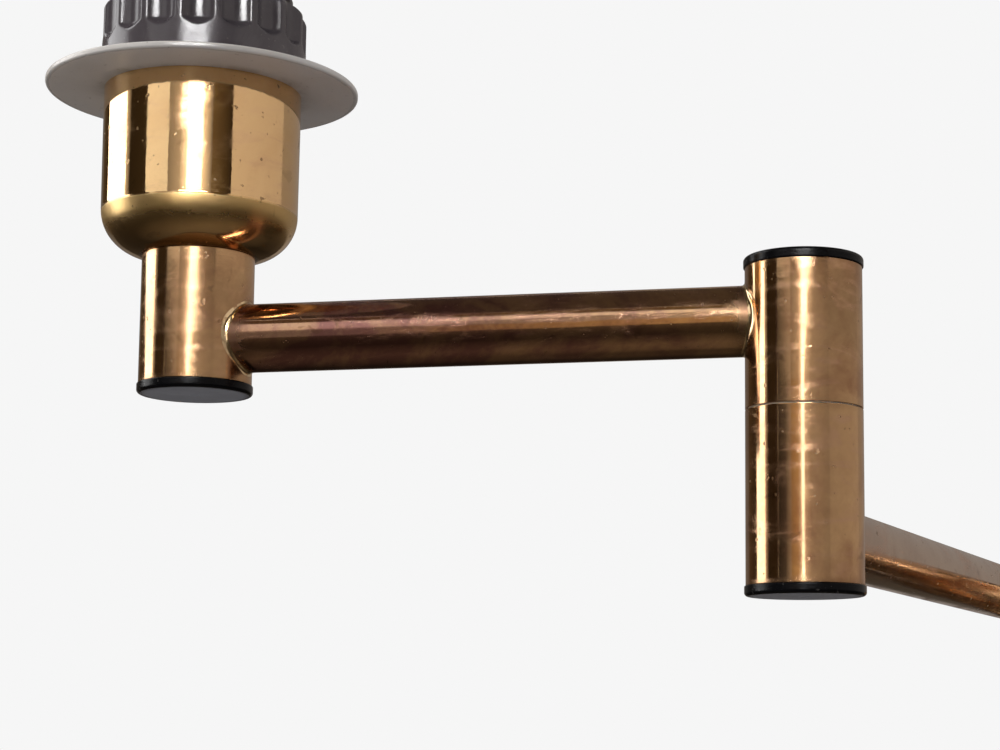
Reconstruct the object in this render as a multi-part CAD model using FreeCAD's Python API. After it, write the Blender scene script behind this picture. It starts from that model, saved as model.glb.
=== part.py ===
import FreeCAD, Part
import math
import os

# Swing arm wall light: a wall rose, two stacked friction pivots, two brass
# arms and an upright lampholder under a flat shade carrier disc.
#
# Millimetres. +Z is up and the wall is the plane Y = 0, with the room on its
# -Y side. The origin is the middle of the rose's back, on the wall.
# The arms stand in the pose they are shown in, not straight out.

# Reach of the arms and the pose at rest
WALL_PIVOT_REACH = 65.0        # wall to the first pivot's axis
INNER_ARM_REACH = 270.0        # first pivot's axis to the elbow's axis
OUTER_ARM_REACH = 137.1        # elbow's axis to the head's axis
STRAIGHT_OUT = 270.0           # azimuth that points away from the wall
WALL_SWING_AT_REST = 45.0      # inner arm's angle from straight out
ELBOW_FOLD_AT_REST = -80.6     # outer arm's angle from the inner arm's line
WALL_SWING_RANGE = 180.0       # stop to stop at the wall pivot
ELBOW_FOLD_RANGE = 320.0       # stop to stop at the elbow

# Cable and the hollow nipples that it runs through
CABLE_RADIUS = 2.5
CABLE_ROOM = 0.8               # cable to the nipple's bore
CORE_RADIUS = 0.95
CORE_OFFSET = 1.2              # core's centre from the cable's centre
BEND_SHARE = 0.45              # of a core's shorter run that one bend may take
SHORTEST_RUN = 0.01            # straight runs below this are left out
SHEATH_PAST_NIPPLE = 7.5       # end of the sheath above the head's nipple
SHEATH_PAST_BEND = 4.0         # end of the sheath past its bend in the rose
LIVE_LEAD = 2.85               # live core's straight run out of the sheath
NEUTRAL_LEAD = 1.9             # neutral core's straight run at either end
NIPPLE_WALL = 1.7
NIPPLE_BEVEL = 0.4
NUT_WALL = 2.0                 # least metal between a nut's thread and a flat
NUT_HEIGHT = 3.0
LOCK_NUT_HEIGHT = 3.5
NIPPLE_STANDS_PROUD = 0.5      # nipple past the face of its nut

# Arm tubes
ARM_RADIUS = 7.65
ARM_WALL = 1.0

# Knuckles, the upright tubes that the arms enter
KNUCKLE_RADIUS = 12.5
KNUCKLE_WALL = 1.5
KNUCKLE_END_WALL = 3.0         # turned end that meets the other knuckle
EDGE_BREAK = 0.25              # bevel on the turned edges
LOWER_KNUCKLE_LENGTH = 37.0
UPPER_KNUCKLE_LENGTH = 30.3
ARM_FROM_OPEN_END = 11.0       # arm's axis from the capped end
HEAD_KNUCKLE_LENGTH = 29.2
HEAD_ARM_FROM_OPEN_END = 10.2

# Friction stack of a pivot
SEAM_WASHER_THICKNESS = 0.3
SEAM_WASHER_SET_BACK = 0.7     # washer's edge inside the knuckle's edge
DISC_SPRING_THICKNESS = 0.6
DISC_SPRING_DISH = 0.35
DISC_SPRING_RADIUS = 9.4
THRUST_WASHER_THICKNESS = 0.8
THRUST_WASHER_RADIUS = 8.6
STOP_PIN_RADIUS = 1.0
STOP_PIN_CIRCLE = 8.0          # pin's distance from the pivot's axis
STOP_PIN_SEATED = 2.0          # pin's length inside the lower knuckle
STOP_GROOVE_DEPTH = 1.6
STOP_GROOVE_CLEARANCE = 0.2

# Plug caps in the open ends
CAP_OVERHANG = 0.3             # cap's rim past the knuckle's wall
CAP_RIM_THICKNESS = 2.2
CAP_RIM_ROUND = 0.8
CAP_SKIRT_LENGTH = 4.5
CAP_SKIRT_WALL = 1.2

# Clearances
THREAD_CLEARANCE = 0.03        # between a thread and its nut or hole
PIVOT_CLEARANCE = 0.06         # running fit on a pivot's nipple
LOOSE_CLEARANCE = 0.10         # washers, plugs and screws in their holes
SOLDER_CLEARANCE = 0.03        # arm tube in a knuckle's side hole
SPRING_CLEARANCE = 0.05        # under the dished spring's edge

# Cup
CUP_RIM_RADIUS = 22.0
CUP_BASE_RADIUS = 21.75        # where the round of the base begins
CUP_WALL = 0.8
CUP_ROUND = 10.0
CUP_HEIGHT = 37.9

# Shade carrier disc on the cup's rim
DISC_RADIUS = 34.85
DISC_THICKNESS = 1.45
DISC_EDGE_ROUND = 0.5
DISC_HOLE_CLEARANCE = 0.4

# Lampholder
HOLDER_THREAD_RADIUS = 19.6    # outside thread that takes the shade ring
HOLDER_ABOVE_RING = 7.4
HOLDER_SKIRT_WALL = 2.05
HOLDER_LIP_THICKNESS = 3.0
HOLDER_LIP_BORE = 15.0
HOLDER_RIM_ROUND = 0.8
DOME_BOSS_RADIUS = 9.0
DOME_BOSS_HEIGHT = 4.0
DOME_BOSS_DEPTH = 8.0          # length of thread in the boss
DOME_FLARE_HEIGHT = 12.0
DOME_SHOULDER_RADIUS = 19.2
DOME_WALL = 1.6
DOME_SPIGOT_LENGTH = 6.0
INSERT_BASE_HEIGHT = 6.0
INSERT_CLEARANCE = 0.15
SOCKET_BORE_RADIUS = 13.3      # bare radius inside the screw shell
SOCKET_SHELL_WALL = 0.4
SOCKET_SHELL_HEIGHT = 21.5
CONTACT_THICKNESS = 0.4
CONTACT_WIDTH = 5.0
CONTACT_REACH = 8.0            # far end of the contact's foot from the axis
CONTACT_BEND = 4.0             # where its slope begins
CONTACT_TIP = 1.6              # half the length of its level tip
CONTACT_RISE = 2.4
SHELL_ABOVE_FLOOR = 3.0        # room for the contact under the screw shell
SHELL_SEAT_LIP = 0.2           # the shell's seat past the shell's bore
TERMINAL_OFFSET = 9.0          # holder's terminal posts from the axis
TERMINAL_RADIUS = 2.4
TERMINAL_LENGTH = 5.5
TERMINAL_HOLE_DEPTH = 3.3
TERMINAL_SCREW_UP = 1.65       # clamp screw above the post's lower end
TERMINAL_SCREW_RADIUS = 1.1
TERMINAL_SCREW_HEAD = 1.7

# Shade ring
RING_RADIUS = 22.8
RING_HEIGHT = 18.0
RING_BAND_HEIGHT = 7.9         # plain band under the flutes, whose feet slope at 45 degrees
RING_TOP_ROUND = 2.4
RING_THREAD_CLEARANCE = 0.06
FLUTE_COUNT = 17
FLUTE_FLOOR_RADIUS = 21.1
FLUTE_CUTTER_RADIUS = 4.9
FLUTE_PHASE = -16.7            # azimuth of one flute's middle

# Round-headed screws
HEAD_ROUND_SHARE = 0.45        # rounding of a screw's head, of its height
SLOT_DEPTH_SHARE = 0.2         # depth of its slot, of its height

# Rose, the round cover at the wall
ROSE_RADIUS = 50.0
ROSE_WALL = 1.2
ROSE_FRONT_ROUND = 6.0
ROOM_BEHIND_SWITCH = 10.0      # between the switch and the backplate

# Backplate behind the rose
BACKPLATE_THICKNESS = 2.0
BACKPLATE_RIM_GAP = 4.0        # plate's edge to the inside of the rose
SUPPLY_HOLE_RADIUS = 8.0
WALL_SCREW_SPACING = 60.0
WALL_SLOT_LENGTH = 12.0
WALL_SLOT_HALF_WIDTH = 2.2
EAR_WIDTH = 14.0
EAR_THICKNESS = 2.0
EAR_DEPTH = 12.0
SIDE_SCREW_RADIUS = 2.0
SIDE_SCREW_LENGTH = 7.0
SIDE_SCREW_HEAD_RADIUS = 3.6
SIDE_SCREW_HEAD_HEIGHT = 2.2

# Stub between the rose and the first knuckle
STUB_BUSH_LENGTH = 12.0
STUB_WASHER_RADIUS = 17.0
STUB_WASHER_THICKNESS = 1.5
ROSE_CABLE_BEND = 10.0

# Terminal block and the screws on the backplate
BLOCK_WIDTH = 22.0
BLOCK_HEIGHT = 16.0
BLOCK_DEPTH = 12.0
BLOCK_ABOVE_AXIS = 22.0        # block's lower face above the stub's axis
POLE_PITCH = 9.6
POLE_HOLE_CLEARANCE = 0.3
POLE_SCREW_SPACING = 8.0       # between the two screws of one pole
POLE_WIRE_SEATED = 4.8         # core's length inside the block
POLE_LEAD = 3.8                # live feed's straight run under the block
PLATE_SCREW_RADIUS = 1.5
PLATE_SCREW_HEAD_RADIUS = 2.8
PLATE_SCREW_HEAD_HEIGHT = 1.8
EARTH_EYELET_ROOM = 1.2        # under the earth screw's head
EARTH_SCREW_OUT = 26.0         # earth screw from the stub's axis, each way

# Push switch in the front of the rose
SWITCH_DROP = 31.0             # switch's axis below the stub's axis
SWITCH_SIZE = 16.0
SWITCH_DEPTH = 16.0
SWITCH_BUSH_WALL = 1.4
SWITCH_BUSH_OUT = 6.5          # bush past the rose's front
SWITCH_NUT_RADIUS = 8.5
SWITCH_NUT_THICKNESS = 2.5
BUTTON_RADIUS = 4.5
BUTTON_OUT = 3.4               # button past its bush at rest
BUTTON_TRAVEL = 2.5
BUTTON_SEATED = 5.0            # button's length inside the bush
BUTTON_ROUND = 1.2
SWITCH_TAG_BACK = 8.8          # wire holes behind the switch's front face
SWITCH_TAG_FROM_SIDE = 2.85    # wire holes from the switch's sides
SWITCH_HOLE_DEPTH = 2.0
SWITCH_WIRE_SEATED = 1.8

# Sizes that follow from the ones above
NIPPLE_BORE = CABLE_RADIUS + CABLE_ROOM
NIPPLE_RADIUS = NIPPLE_BORE + NIPPLE_WALL
KNUCKLE_BORE = KNUCKLE_RADIUS - KNUCKLE_WALL
ARM_BORE = ARM_RADIUS - ARM_WALL
SEAM_ABOVE_LOWER_ARM = LOWER_KNUCKLE_LENGTH - ARM_FROM_OPEN_END
UPPER_ARM_ABOVE_SEAM = SEAM_WASHER_THICKNESS + UPPER_KNUCKLE_LENGTH - ARM_FROM_OPEN_END
LEVEL_RISE = SEAM_ABOVE_LOWER_ARM + UPPER_ARM_ABOVE_SEAM
ROSE_DEPTH = BACKPLATE_THICKNESS + ROOM_BEHIND_SWITCH + SWITCH_DEPTH + ROSE_WALL
ROSE_BORE = ROSE_RADIUS - ROSE_WALL
BUSH_BORE = BUTTON_RADIUS + LOOSE_CLEARANCE
BUSH_RADIUS = BUSH_BORE + SWITCH_BUSH_WALL

UP = FreeCAD.Vector(0, 0, 1)
OUTWARD = FreeCAD.Vector(0, -1, 0)
TO_WALL = FreeCAD.Vector(0, 1, 0)
RIGHT = FreeCAD.Vector(1, 0, 0)
PAST = 1.0                     # how far a cutting tool runs past the metal

pieces = {}


def point(x, y, z):
    return FreeCAD.Vector(x, y, z)


def heading(azimuth):
    """Unit vector in the level plane."""
    turn = math.radians(azimuth)
    return point(math.cos(turn), math.sin(turn), 0)


def rod(radius, start, end):
    """Solid cylinder from one point to another."""
    along = end - start
    return Part.makeCylinder(radius, along.Length, start, along)


def drilled(shape, radius, start, end):
    """The shape with a round hole from one point to another."""
    along = end - start
    along.normalize()
    return shape.cut(rod(radius, start - along * PAST, end + along * PAST))


def on_circle(centre_r, centre_z, radius, degrees):
    turn = math.radians(degrees)
    return (centre_r + radius * math.cos(turn), centre_z + radius * math.sin(turn))


def turned(start, *steps):
    """Solid of revolution about Z from an outline of (radius, height) points.

    A step is the next point, or a pair of points: one on an arc and its end.
    """
    edges = []
    here = point(start[0], 0, start[1])
    for step in list(steps) + [start]:
        if isinstance(step[0], tuple):
            through = point(step[0][0], 0, step[0][1])
            there = point(step[1][0], 0, step[1][1])
            edges.append(Part.Arc(here, through, there).toShape())
        else:
            there = point(step[0], 0, step[1])
            edges.append(Part.LineSegment(here, there).toShape())
        here = there
    face = Part.Face(Part.Wire(edges))
    return face.revolve(point(0, 0, 0), UP, 360)


def ring(outer, bore, low, high, bevel=0.0):
    """Round washer, tube or collar about Z, with bevelled outer edges."""
    if bevel == 0.0:
        return turned((bore, low), (outer, low), (outer, high), (bore, high))
    return turned((bore, low), (outer - bevel, low), (outer, low + bevel),
                  (outer, high - bevel), (outer - bevel, high), (bore, high))


def hex_nut(bore, low, height):
    """Hexagon nut about Z with its corners turned off."""
    flat_radius = bore + NUT_WALL
    corner_radius = flat_radius / math.cos(math.radians(30))
    corners = []
    for corner in range(7):
        corners.append(heading(60 * corner) * corner_radius + point(0, 0, low))
    prism = Part.Face(Part.makePolygon(corners)).extrude(UP * height)
    turned_off = corner_radius - flat_radius
    slope = turned_off * math.tan(math.radians(30))
    lathe = turned((0, low), (flat_radius, low), (corner_radius, low + slope),
                   (corner_radius, low + height - slope), (flat_radius, low + height), (0, low + height))
    return drilled(prism.common(lathe), bore, point(0, 0, low), point(0, 0, low + height))


def nipple(low, high):
    """Hollow threaded rod about Z."""
    return ring(NIPPLE_RADIUS, NIPPLE_BORE, low, high, NIPPLE_BEVEL)


def screw(head_seat, toward, radius, length, head_radius, head_height):
    """Round-headed screw. Its head stands on head_seat and the shank runs toward."""
    shank = rod(radius, head_seat, head_seat + toward * length)
    head = rod(head_radius, head_seat - toward * head_height, head_seat)
    rim = [edge for edge in head.Edges if edge.BoundBox.Center.distanceToPoint(head_seat) > head_height / 2]
    top_rim = [edge for edge in rim if len(edge.Vertexes) == 1]
    rounded = head.makeFillet(head_height * HEAD_ROUND_SHARE, top_rim)
    slot_across = toward.cross(UP) if abs(toward.z) < 0.5 else RIGHT
    crown = head_seat - toward * head_height
    half_slot = slot_across * (head_radius + PAST)
    slot = rod(head_height * SLOT_DEPTH_SHARE, crown - half_slot, crown + half_slot)
    return rounded.cut(slot).fuse(shank).removeSplitter()


def bend_tangent(before, corner, after, radius):
    """Where an arc of that radius leaves and rejoins the two straight runs."""
    back = (before - corner).normalize()
    ahead = (after - corner).normalize()
    half = back.getAngle(ahead) / 2
    distance = radius / math.tan(half)
    bisector = (back + ahead).normalize()
    centre = corner + bisector * (radius / math.sin(half))
    return corner + back * distance, centre - bisector * radius, corner + ahead * distance


def routed(radius, points, bends):
    """Round wire or cable along straight runs joined by tangent arcs."""
    edges = []
    here = points[0]
    for index, bend in enumerate(bends, start=1):
        leave, middle, rejoin = bend_tangent(points[index - 1], points[index], points[index + 1], bend)
        if here.distanceToPoint(leave) > SHORTEST_RUN:
            edges.append(Part.LineSegment(here, leave).toShape())
        edges.append(Part.Arc(leave, middle, rejoin).toShape())
        here = rejoin
    edges.append(Part.LineSegment(here, points[-1]).toShape())
    path = Part.Wire(edges)
    section = Part.Wire(Part.Circle(points[0], points[1] - points[0], radius).toShape())
    tube = path.makePipeShell([section], True, False)
    expected = math.pi * radius ** 2 * path.Length
    print("wire of %.1f mm, bends %s, volume ratio %.4f"
          % (path.Length, [round(bend, 1) for bend in bends], tube.Volume / expected))
    return tube


def largest_bends(points):
    """Each corner's radius, as large as its two runs allow."""
    bends = []
    for before, corner, after in zip(points, points[1:], points[2:]):
        half = (before - corner).getAngle(after - corner) / 2
        shorter = min(before.distanceToPoint(corner), corner.distanceToPoint(after))
        bends.append(BEND_SHARE * shorter * math.tan(half))
    return bends


def placed(shape, azimuth, origin):
    """Turn a local shape about Z, then move its origin."""
    moved = shape.copy()
    moved.rotate(point(0, 0, 0), UP, azimuth)
    moved.translate(origin)
    return moved


def group(solids):
    """Identical pieces that share one node."""
    return Part.makeCompound(solids)


# Knuckles, arms and caps, each about a local Z axis with its arm along +X

def knuckle(length, arm_height, end_bore):
    """Tube open at its foot, with a turned end on top and a side hole for the arm."""
    body = turned((KNUCKLE_BORE, 0), (KNUCKLE_RADIUS, 0), (KNUCKLE_RADIUS, length - EDGE_BREAK),
                  (KNUCKLE_RADIUS - EDGE_BREAK, length), (end_bore, length),
                  (end_bore, length - KNUCKLE_END_WALL), (KNUCKLE_BORE, length - KNUCKLE_END_WALL))
    side_hole = rod(ARM_RADIUS + SOLDER_CLEARANCE, point(0, 0, arm_height),
                    point(KNUCKLE_RADIUS + PAST, 0, arm_height))
    return body.cut(side_hole)


def stop_groove(swing_range):
    """Blind curved groove that the stop pin runs in, centred on local 180 degrees."""
    half_width = STOP_PIN_RADIUS + STOP_GROOVE_CLEARANCE
    floor = STOP_GROOVE_DEPTH
    half_range = swing_range / 2
    track = ring(STOP_PIN_CIRCLE + half_width, STOP_PIN_CIRCLE - half_width, -PAST, floor)
    # The part of the track past the two end stops is left standing
    far = KNUCKLE_RADIUS * 2
    corners = [point(0, 0, -2 * PAST)]
    for share in (0, 0.25, 0.5, 0.75, 1):
        azimuth = 180 + half_range + share * (360 - swing_range)
        corners.append(heading(azimuth) * far + point(0, 0, -2 * PAST))
    corners.append(corners[0])
    standing = Part.Face(Part.makePolygon(corners)).extrude(UP * (floor + 3 * PAST))
    groove = track.cut(standing)
    for side in (-1, 1):
        middle = heading(180 + side * half_range) * STOP_PIN_CIRCLE
        groove = groove.fuse(rod(half_width, middle - UP * PAST, middle + UP * floor))
    return groove.removeSplitter()


def lower_knuckle():
    body = knuckle(LOWER_KNUCKLE_LENGTH, ARM_FROM_OPEN_END, NIPPLE_RADIUS + THREAD_CLEARANCE)
    top = LOWER_KNUCKLE_LENGTH
    pin_foot = point(STOP_PIN_CIRCLE, 0, top - STOP_PIN_SEATED)
    return body.cut(rod(STOP_PIN_RADIUS + THREAD_CLEARANCE, pin_foot, pin_foot + UP * (STOP_PIN_SEATED + PAST)))


def upper_knuckle(swing_range):
    """A knuckle turned over, so that its turned end is below, with the stop groove in it."""
    body = knuckle(UPPER_KNUCKLE_LENGTH, ARM_FROM_OPEN_END, NIPPLE_RADIUS + PIVOT_CLEARANCE)
    body.rotate(point(0, 0, 0), RIGHT, 180)
    body.translate(UP * UPPER_KNUCKLE_LENGTH)
    return body.cut(stop_groove(swing_range))


def head_knuckle():
    return knuckle(HEAD_KNUCKLE_LENGTH, HEAD_ARM_FROM_OPEN_END, NIPPLE_RADIUS + THREAD_CLEARANCE)


def plug_cap():
    """Cap under an open foot: a rounded rim below the brass and a skirt inside it."""
    rim = KNUCKLE_RADIUS + CAP_OVERHANG
    skirt = KNUCKLE_BORE - LOOSE_CLEARANCE
    bottom = -CAP_RIM_THICKNESS
    foot_round = on_circle(rim - CAP_RIM_ROUND, bottom + CAP_RIM_ROUND, CAP_RIM_ROUND, -45)
    return turned((0, bottom), (rim - CAP_RIM_ROUND, bottom), (foot_round, (rim, bottom + CAP_RIM_ROUND)),
                  (rim, -EDGE_BREAK), (rim - EDGE_BREAK, 0), (skirt, 0), (skirt, CAP_SKIRT_LENGTH),
                  (skirt - CAP_SKIRT_WALL, CAP_SKIRT_LENGTH), (skirt - CAP_SKIRT_WALL, 0), (0, 0))


def turned_over(shape):
    over = shape.copy()
    over.rotate(point(0, 0, 0), RIGHT, 180)
    return over


def arm_tube(reach):
    """Tube along +X between two knuckles, its ends shaped to their bores."""
    whole = rod(ARM_RADIUS, point(0, 0, 0), point(reach, 0, 0))
    whole = drilled(whole, ARM_BORE, point(0, 0, 0), point(reach, 0, 0))
    for axis in (0, reach):
        whole = whole.cut(rod(KNUCKLE_BORE, point(axis, 0, -2 * ARM_RADIUS), point(axis, 0, 2 * ARM_RADIUS)))
    return max(whole.Solids, key=lambda solid: solid.Volume)


# One pivot: the lower knuckle is fixed to the nipple and the upper one turns on it

SPRING_FOOT = SEAM_WASHER_THICKNESS + KNUCKLE_END_WALL + SPRING_CLEARANCE
THRUST_WASHER_FOOT = SPRING_FOOT + DISC_SPRING_THICKNESS + DISC_SPRING_DISH
LOCK_NUT_FOOT = THRUST_WASHER_FOOT + THRUST_WASHER_THICKNESS
NIPPLE_TOP = LOCK_NUT_FOOT + LOCK_NUT_HEIGHT + NIPPLE_STANDS_PROUD
ANCHOR_NUT_FOOT = -KNUCKLE_END_WALL - NUT_HEIGHT
NIPPLE_FOOT = ANCHOR_NUT_FOOT - NIPPLE_STANDS_PROUD


def seam_washer():
    hole = NIPPLE_RADIUS + LOOSE_CLEARANCE
    washer = ring(KNUCKLE_RADIUS - SEAM_WASHER_SET_BACK, hole, 0, SEAM_WASHER_THICKNESS)
    pin = point(STOP_PIN_CIRCLE, 0, 0)
    return drilled(washer, STOP_PIN_RADIUS + LOOSE_CLEARANCE, pin, pin + UP * SEAM_WASHER_THICKNESS)


def disc_spring():
    """Dished spring washer, resting on its outer edge."""
    hole = NIPPLE_RADIUS + LOOSE_CLEARANCE
    foot = SPRING_FOOT
    return turned((hole, foot + DISC_SPRING_DISH), (DISC_SPRING_RADIUS, foot),
                  (DISC_SPRING_RADIUS, foot + DISC_SPRING_THICKNESS),
                  (hole, foot + DISC_SPRING_DISH + DISC_SPRING_THICKNESS))


def stop_pin():
    tip = SEAM_WASHER_THICKNESS + STOP_GROOVE_DEPTH - STOP_GROOVE_CLEARANCE
    return rod(STOP_PIN_RADIUS, point(STOP_PIN_CIRCLE, 0, -STOP_PIN_SEATED), point(STOP_PIN_CIRCLE, 0, tip))


def pivot(name, origin, lower_azimuth, upper_azimuth, swing_range):
    """All the pieces of one pivot. The origin is on the axis at the lower arm's height."""
    seam = origin + UP * SEAM_ABOVE_LOWER_ARM
    lower_foot = origin - UP * ARM_FROM_OPEN_END
    upper_foot = seam + UP * SEAM_WASHER_THICKNESS
    upper_top = upper_foot + UP * UPPER_KNUCKLE_LENGTH
    thread = NIPPLE_RADIUS + THREAD_CLEARANCE
    washer_hole = NIPPLE_RADIUS + LOOSE_CLEARANCE
    lock_nut_top = LOCK_NUT_FOOT + LOCK_NUT_HEIGHT
    pieces[name + "_lower_knuckle"] = placed(lower_knuckle(), lower_azimuth, lower_foot)
    pieces[name + "_lower_cap"] = placed(plug_cap(), 0, lower_foot)
    pieces[name + "_pivot_nipple"] = placed(nipple(NIPPLE_FOOT, NIPPLE_TOP), 0, seam)
    pieces[name + "_anchor_nut"] = placed(hex_nut(thread, ANCHOR_NUT_FOOT, NUT_HEIGHT), 0, seam)
    pieces[name + "_stop_pin"] = placed(stop_pin(), lower_azimuth, seam)
    pieces[name + "_seam_washer"] = placed(seam_washer(), lower_azimuth, seam)
    pieces[name + "_disc_spring"] = placed(disc_spring(), 0, seam)
    thrust_washer = ring(THRUST_WASHER_RADIUS, washer_hole, THRUST_WASHER_FOOT, LOCK_NUT_FOOT)
    pieces[name + "_thrust_washer"] = placed(thrust_washer, 0, seam)
    lock_nut = hex_nut(thread, LOCK_NUT_FOOT, lock_nut_top - LOCK_NUT_FOOT)
    pieces[name + "_lock_nut"] = placed(lock_nut, 0, seam)
    pieces[name + "_upper_knuckle"] = placed(upper_knuckle(swing_range), upper_azimuth, upper_foot)
    pieces[name + "_upper_cap"] = placed(turned_over(plug_cap()), 0, upper_top)


# Places of the three upright axes

INNER_AZIMUTH = STRAIGHT_OUT + WALL_SWING_AT_REST
OUTER_AZIMUTH = INNER_AZIMUTH + ELBOW_FOLD_AT_REST
WALL_PIVOT = point(0, -WALL_PIVOT_REACH, 0)
INNER_ARM_START = WALL_PIVOT + UP * LEVEL_RISE
ELBOW = INNER_ARM_START + heading(INNER_AZIMUTH) * INNER_ARM_REACH
OUTER_ARM_START = ELBOW + UP * LEVEL_RISE
HEAD = OUTER_ARM_START + heading(OUTER_AZIMUTH) * OUTER_ARM_REACH
TOWARD_WALL_AZIMUTH = STRAIGHT_OUT - 180

pivot("wall", WALL_PIVOT, TOWARD_WALL_AZIMUTH, INNER_AZIMUTH, WALL_SWING_RANGE)
pivot("elbow", ELBOW, INNER_AZIMUTH - 180, OUTER_AZIMUTH, ELBOW_FOLD_RANGE)
pieces["inner_arm_tube"] = placed(arm_tube(INNER_ARM_REACH), INNER_AZIMUTH, INNER_ARM_START)
pieces["outer_arm_tube"] = placed(arm_tube(OUTER_ARM_REACH), OUTER_AZIMUTH, OUTER_ARM_START)


# Head: heights here are measured from the outer arm's axis

HEAD_TOP = HEAD_KNUCKLE_LENGTH - HEAD_ARM_FROM_OPEN_END
HEAD_FOOT = -HEAD_ARM_FROM_OPEN_END
HEAD_NUT_FOOT = HEAD_TOP - KNUCKLE_END_WALL - NUT_HEIGHT
CUP_FLOOR = HEAD_TOP + CUP_WALL
DOME_FOOT = CUP_FLOOR + NUT_HEIGHT
HEAD_NIPPLE_TOP = DOME_FOOT + DOME_BOSS_DEPTH - NIPPLE_STANDS_PROUD
CUP_RIM = HEAD_TOP + CUP_HEIGHT
DISC_TOP = CUP_RIM + DISC_THICKNESS
RING_TOP = DISC_TOP + RING_HEIGHT
HOLDER_RIM = RING_TOP + HOLDER_ABOVE_RING
LIP_FOOT = HOLDER_RIM - HOLDER_LIP_THICKNESS
SKIRT_BORE = HOLDER_THREAD_RADIUS - HOLDER_SKIRT_WALL
SHELL_TOP = LIP_FOOT - LOOSE_CLEARANCE
SHELL_SEAT = SHELL_TOP - SOCKET_SHELL_HEIGHT
INSERT_FLOOR = SHELL_SEAT - SHELL_ABOVE_FLOOR
INSERT_FOOT = INSERT_FLOOR - INSERT_BASE_HEIGHT
DOME_SHOULDER = INSERT_FOOT - DOME_SPIGOT_LENGTH
SHELL_RADIUS = SOCKET_BORE_RADIUS + SOCKET_SHELL_WALL

pieces["head_knuckle"] = placed(head_knuckle(), OUTER_AZIMUTH + 180, HEAD + UP * HEAD_FOOT)
pieces["head_cap"] = placed(plug_cap(), 0, HEAD + UP * HEAD_FOOT)
pieces["head_nipple"] = placed(nipple(HEAD_NUT_FOOT - NIPPLE_STANDS_PROUD, HEAD_NIPPLE_TOP), 0, HEAD)
head_nuts = [hex_nut(NIPPLE_RADIUS + THREAD_CLEARANCE, foot, NUT_HEIGHT) for foot in (HEAD_NUT_FOOT, CUP_FLOOR)]
pieces["head_nuts"] = placed(group(head_nuts), 0, HEAD)


def cup():
    """Spun cup: a flat floor on the knuckle, a quarter round and a slightly flared wall."""
    hole = NIPPLE_RADIUS + LOOSE_CLEARANCE
    centre_r = CUP_BASE_RADIUS - CUP_ROUND
    centre_z = HEAD_TOP + CUP_ROUND
    inner_round = CUP_ROUND - CUP_WALL
    outside_arc = on_circle(centre_r, centre_z, CUP_ROUND, -45)
    inside_arc = on_circle(centre_r, centre_z, inner_round, -45)
    return turned((hole, HEAD_TOP), (centre_r, HEAD_TOP), (outside_arc, (CUP_BASE_RADIUS, centre_z)),
                  (CUP_RIM_RADIUS, CUP_RIM), (CUP_RIM_RADIUS - CUP_WALL, CUP_RIM),
                  (CUP_BASE_RADIUS - CUP_WALL, centre_z), (inside_arc, (centre_r, CUP_FLOOR)),
                  (hole, CUP_FLOOR))


def shade_disc():
    hole = HOLDER_THREAD_RADIUS + DISC_HOLE_CLEARANCE
    edge = DISC_RADIUS - DISC_EDGE_ROUND
    low_arc = on_circle(edge, CUP_RIM + DISC_EDGE_ROUND, DISC_EDGE_ROUND, -45)
    top_arc = on_circle(edge, DISC_TOP - DISC_EDGE_ROUND, DISC_EDGE_ROUND, 45)
    return turned((hole, CUP_RIM), (edge, CUP_RIM), (low_arc, (DISC_RADIUS, CUP_RIM + DISC_EDGE_ROUND)),
                  (DISC_RADIUS, DISC_TOP - DISC_EDGE_ROUND), (top_arc, (edge, DISC_TOP)), (hole, DISC_TOP))


def shade_ring():
    """Ring with a plain band below and scallops, open at the top, for the fingers."""
    bore = HOLDER_THREAD_RADIUS + RING_THREAD_CLEARANCE
    centre_r = RING_RADIUS - RING_TOP_ROUND
    top_arc = on_circle(centre_r, RING_TOP - RING_TOP_ROUND, RING_TOP_ROUND, 45)
    blank = turned((bore, DISC_TOP), (RING_RADIUS - EDGE_BREAK, DISC_TOP), (RING_RADIUS, DISC_TOP + EDGE_BREAK),
                   (RING_RADIUS, RING_TOP - RING_TOP_ROUND), (top_arc, (centre_r, RING_TOP)), (bore, RING_TOP))
    cutter_r = FLUTE_FLOOR_RADIUS + FLUTE_CUTTER_RADIUS
    depth = RING_RADIUS - FLUTE_FLOOR_RADIUS
    foot = DISC_TOP + RING_BAND_HEIGHT
    for flute in range(FLUTE_COUNT):
        middle = heading(FLUTE_PHASE + flute * 360 / FLUTE_COUNT) * cutter_r
        start = middle + UP * foot
        cutter = rod(FLUTE_CUTTER_RADIUS, start + UP * depth, middle + UP * (RING_TOP + PAST))
        slope = Part.makeCone(FLUTE_CUTTER_RADIUS - depth, FLUTE_CUTTER_RADIUS, depth, start, UP)
        blank = blank.cut(cutter.fuse(slope))
    return blank


def holder_dome():
    """Closed lower half of the lampholder, screwed on the nipple."""
    thread = NIPPLE_RADIUS + THREAD_CLEARANCE
    boss_top = DOME_FOOT + DOME_BOSS_HEIGHT
    flare_top = boss_top + DOME_FLARE_HEIGHT
    spigot = SKIRT_BORE - LOOSE_CLEARANCE
    inside = spigot - DOME_WALL
    return turned((thread, DOME_FOOT), (DOME_BOSS_RADIUS, DOME_FOOT), (DOME_BOSS_RADIUS, boss_top),
                  (DOME_SHOULDER_RADIUS, flare_top), (DOME_SHOULDER_RADIUS, DOME_SHOULDER),
                  (spigot, DOME_SHOULDER), (spigot, INSERT_FOOT), (inside, INSERT_FOOT),
                  (inside, flare_top), (DOME_BOSS_RADIUS - DOME_WALL, DOME_FOOT + DOME_BOSS_DEPTH),
                  (thread, DOME_FOOT + DOME_BOSS_DEPTH))


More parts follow.
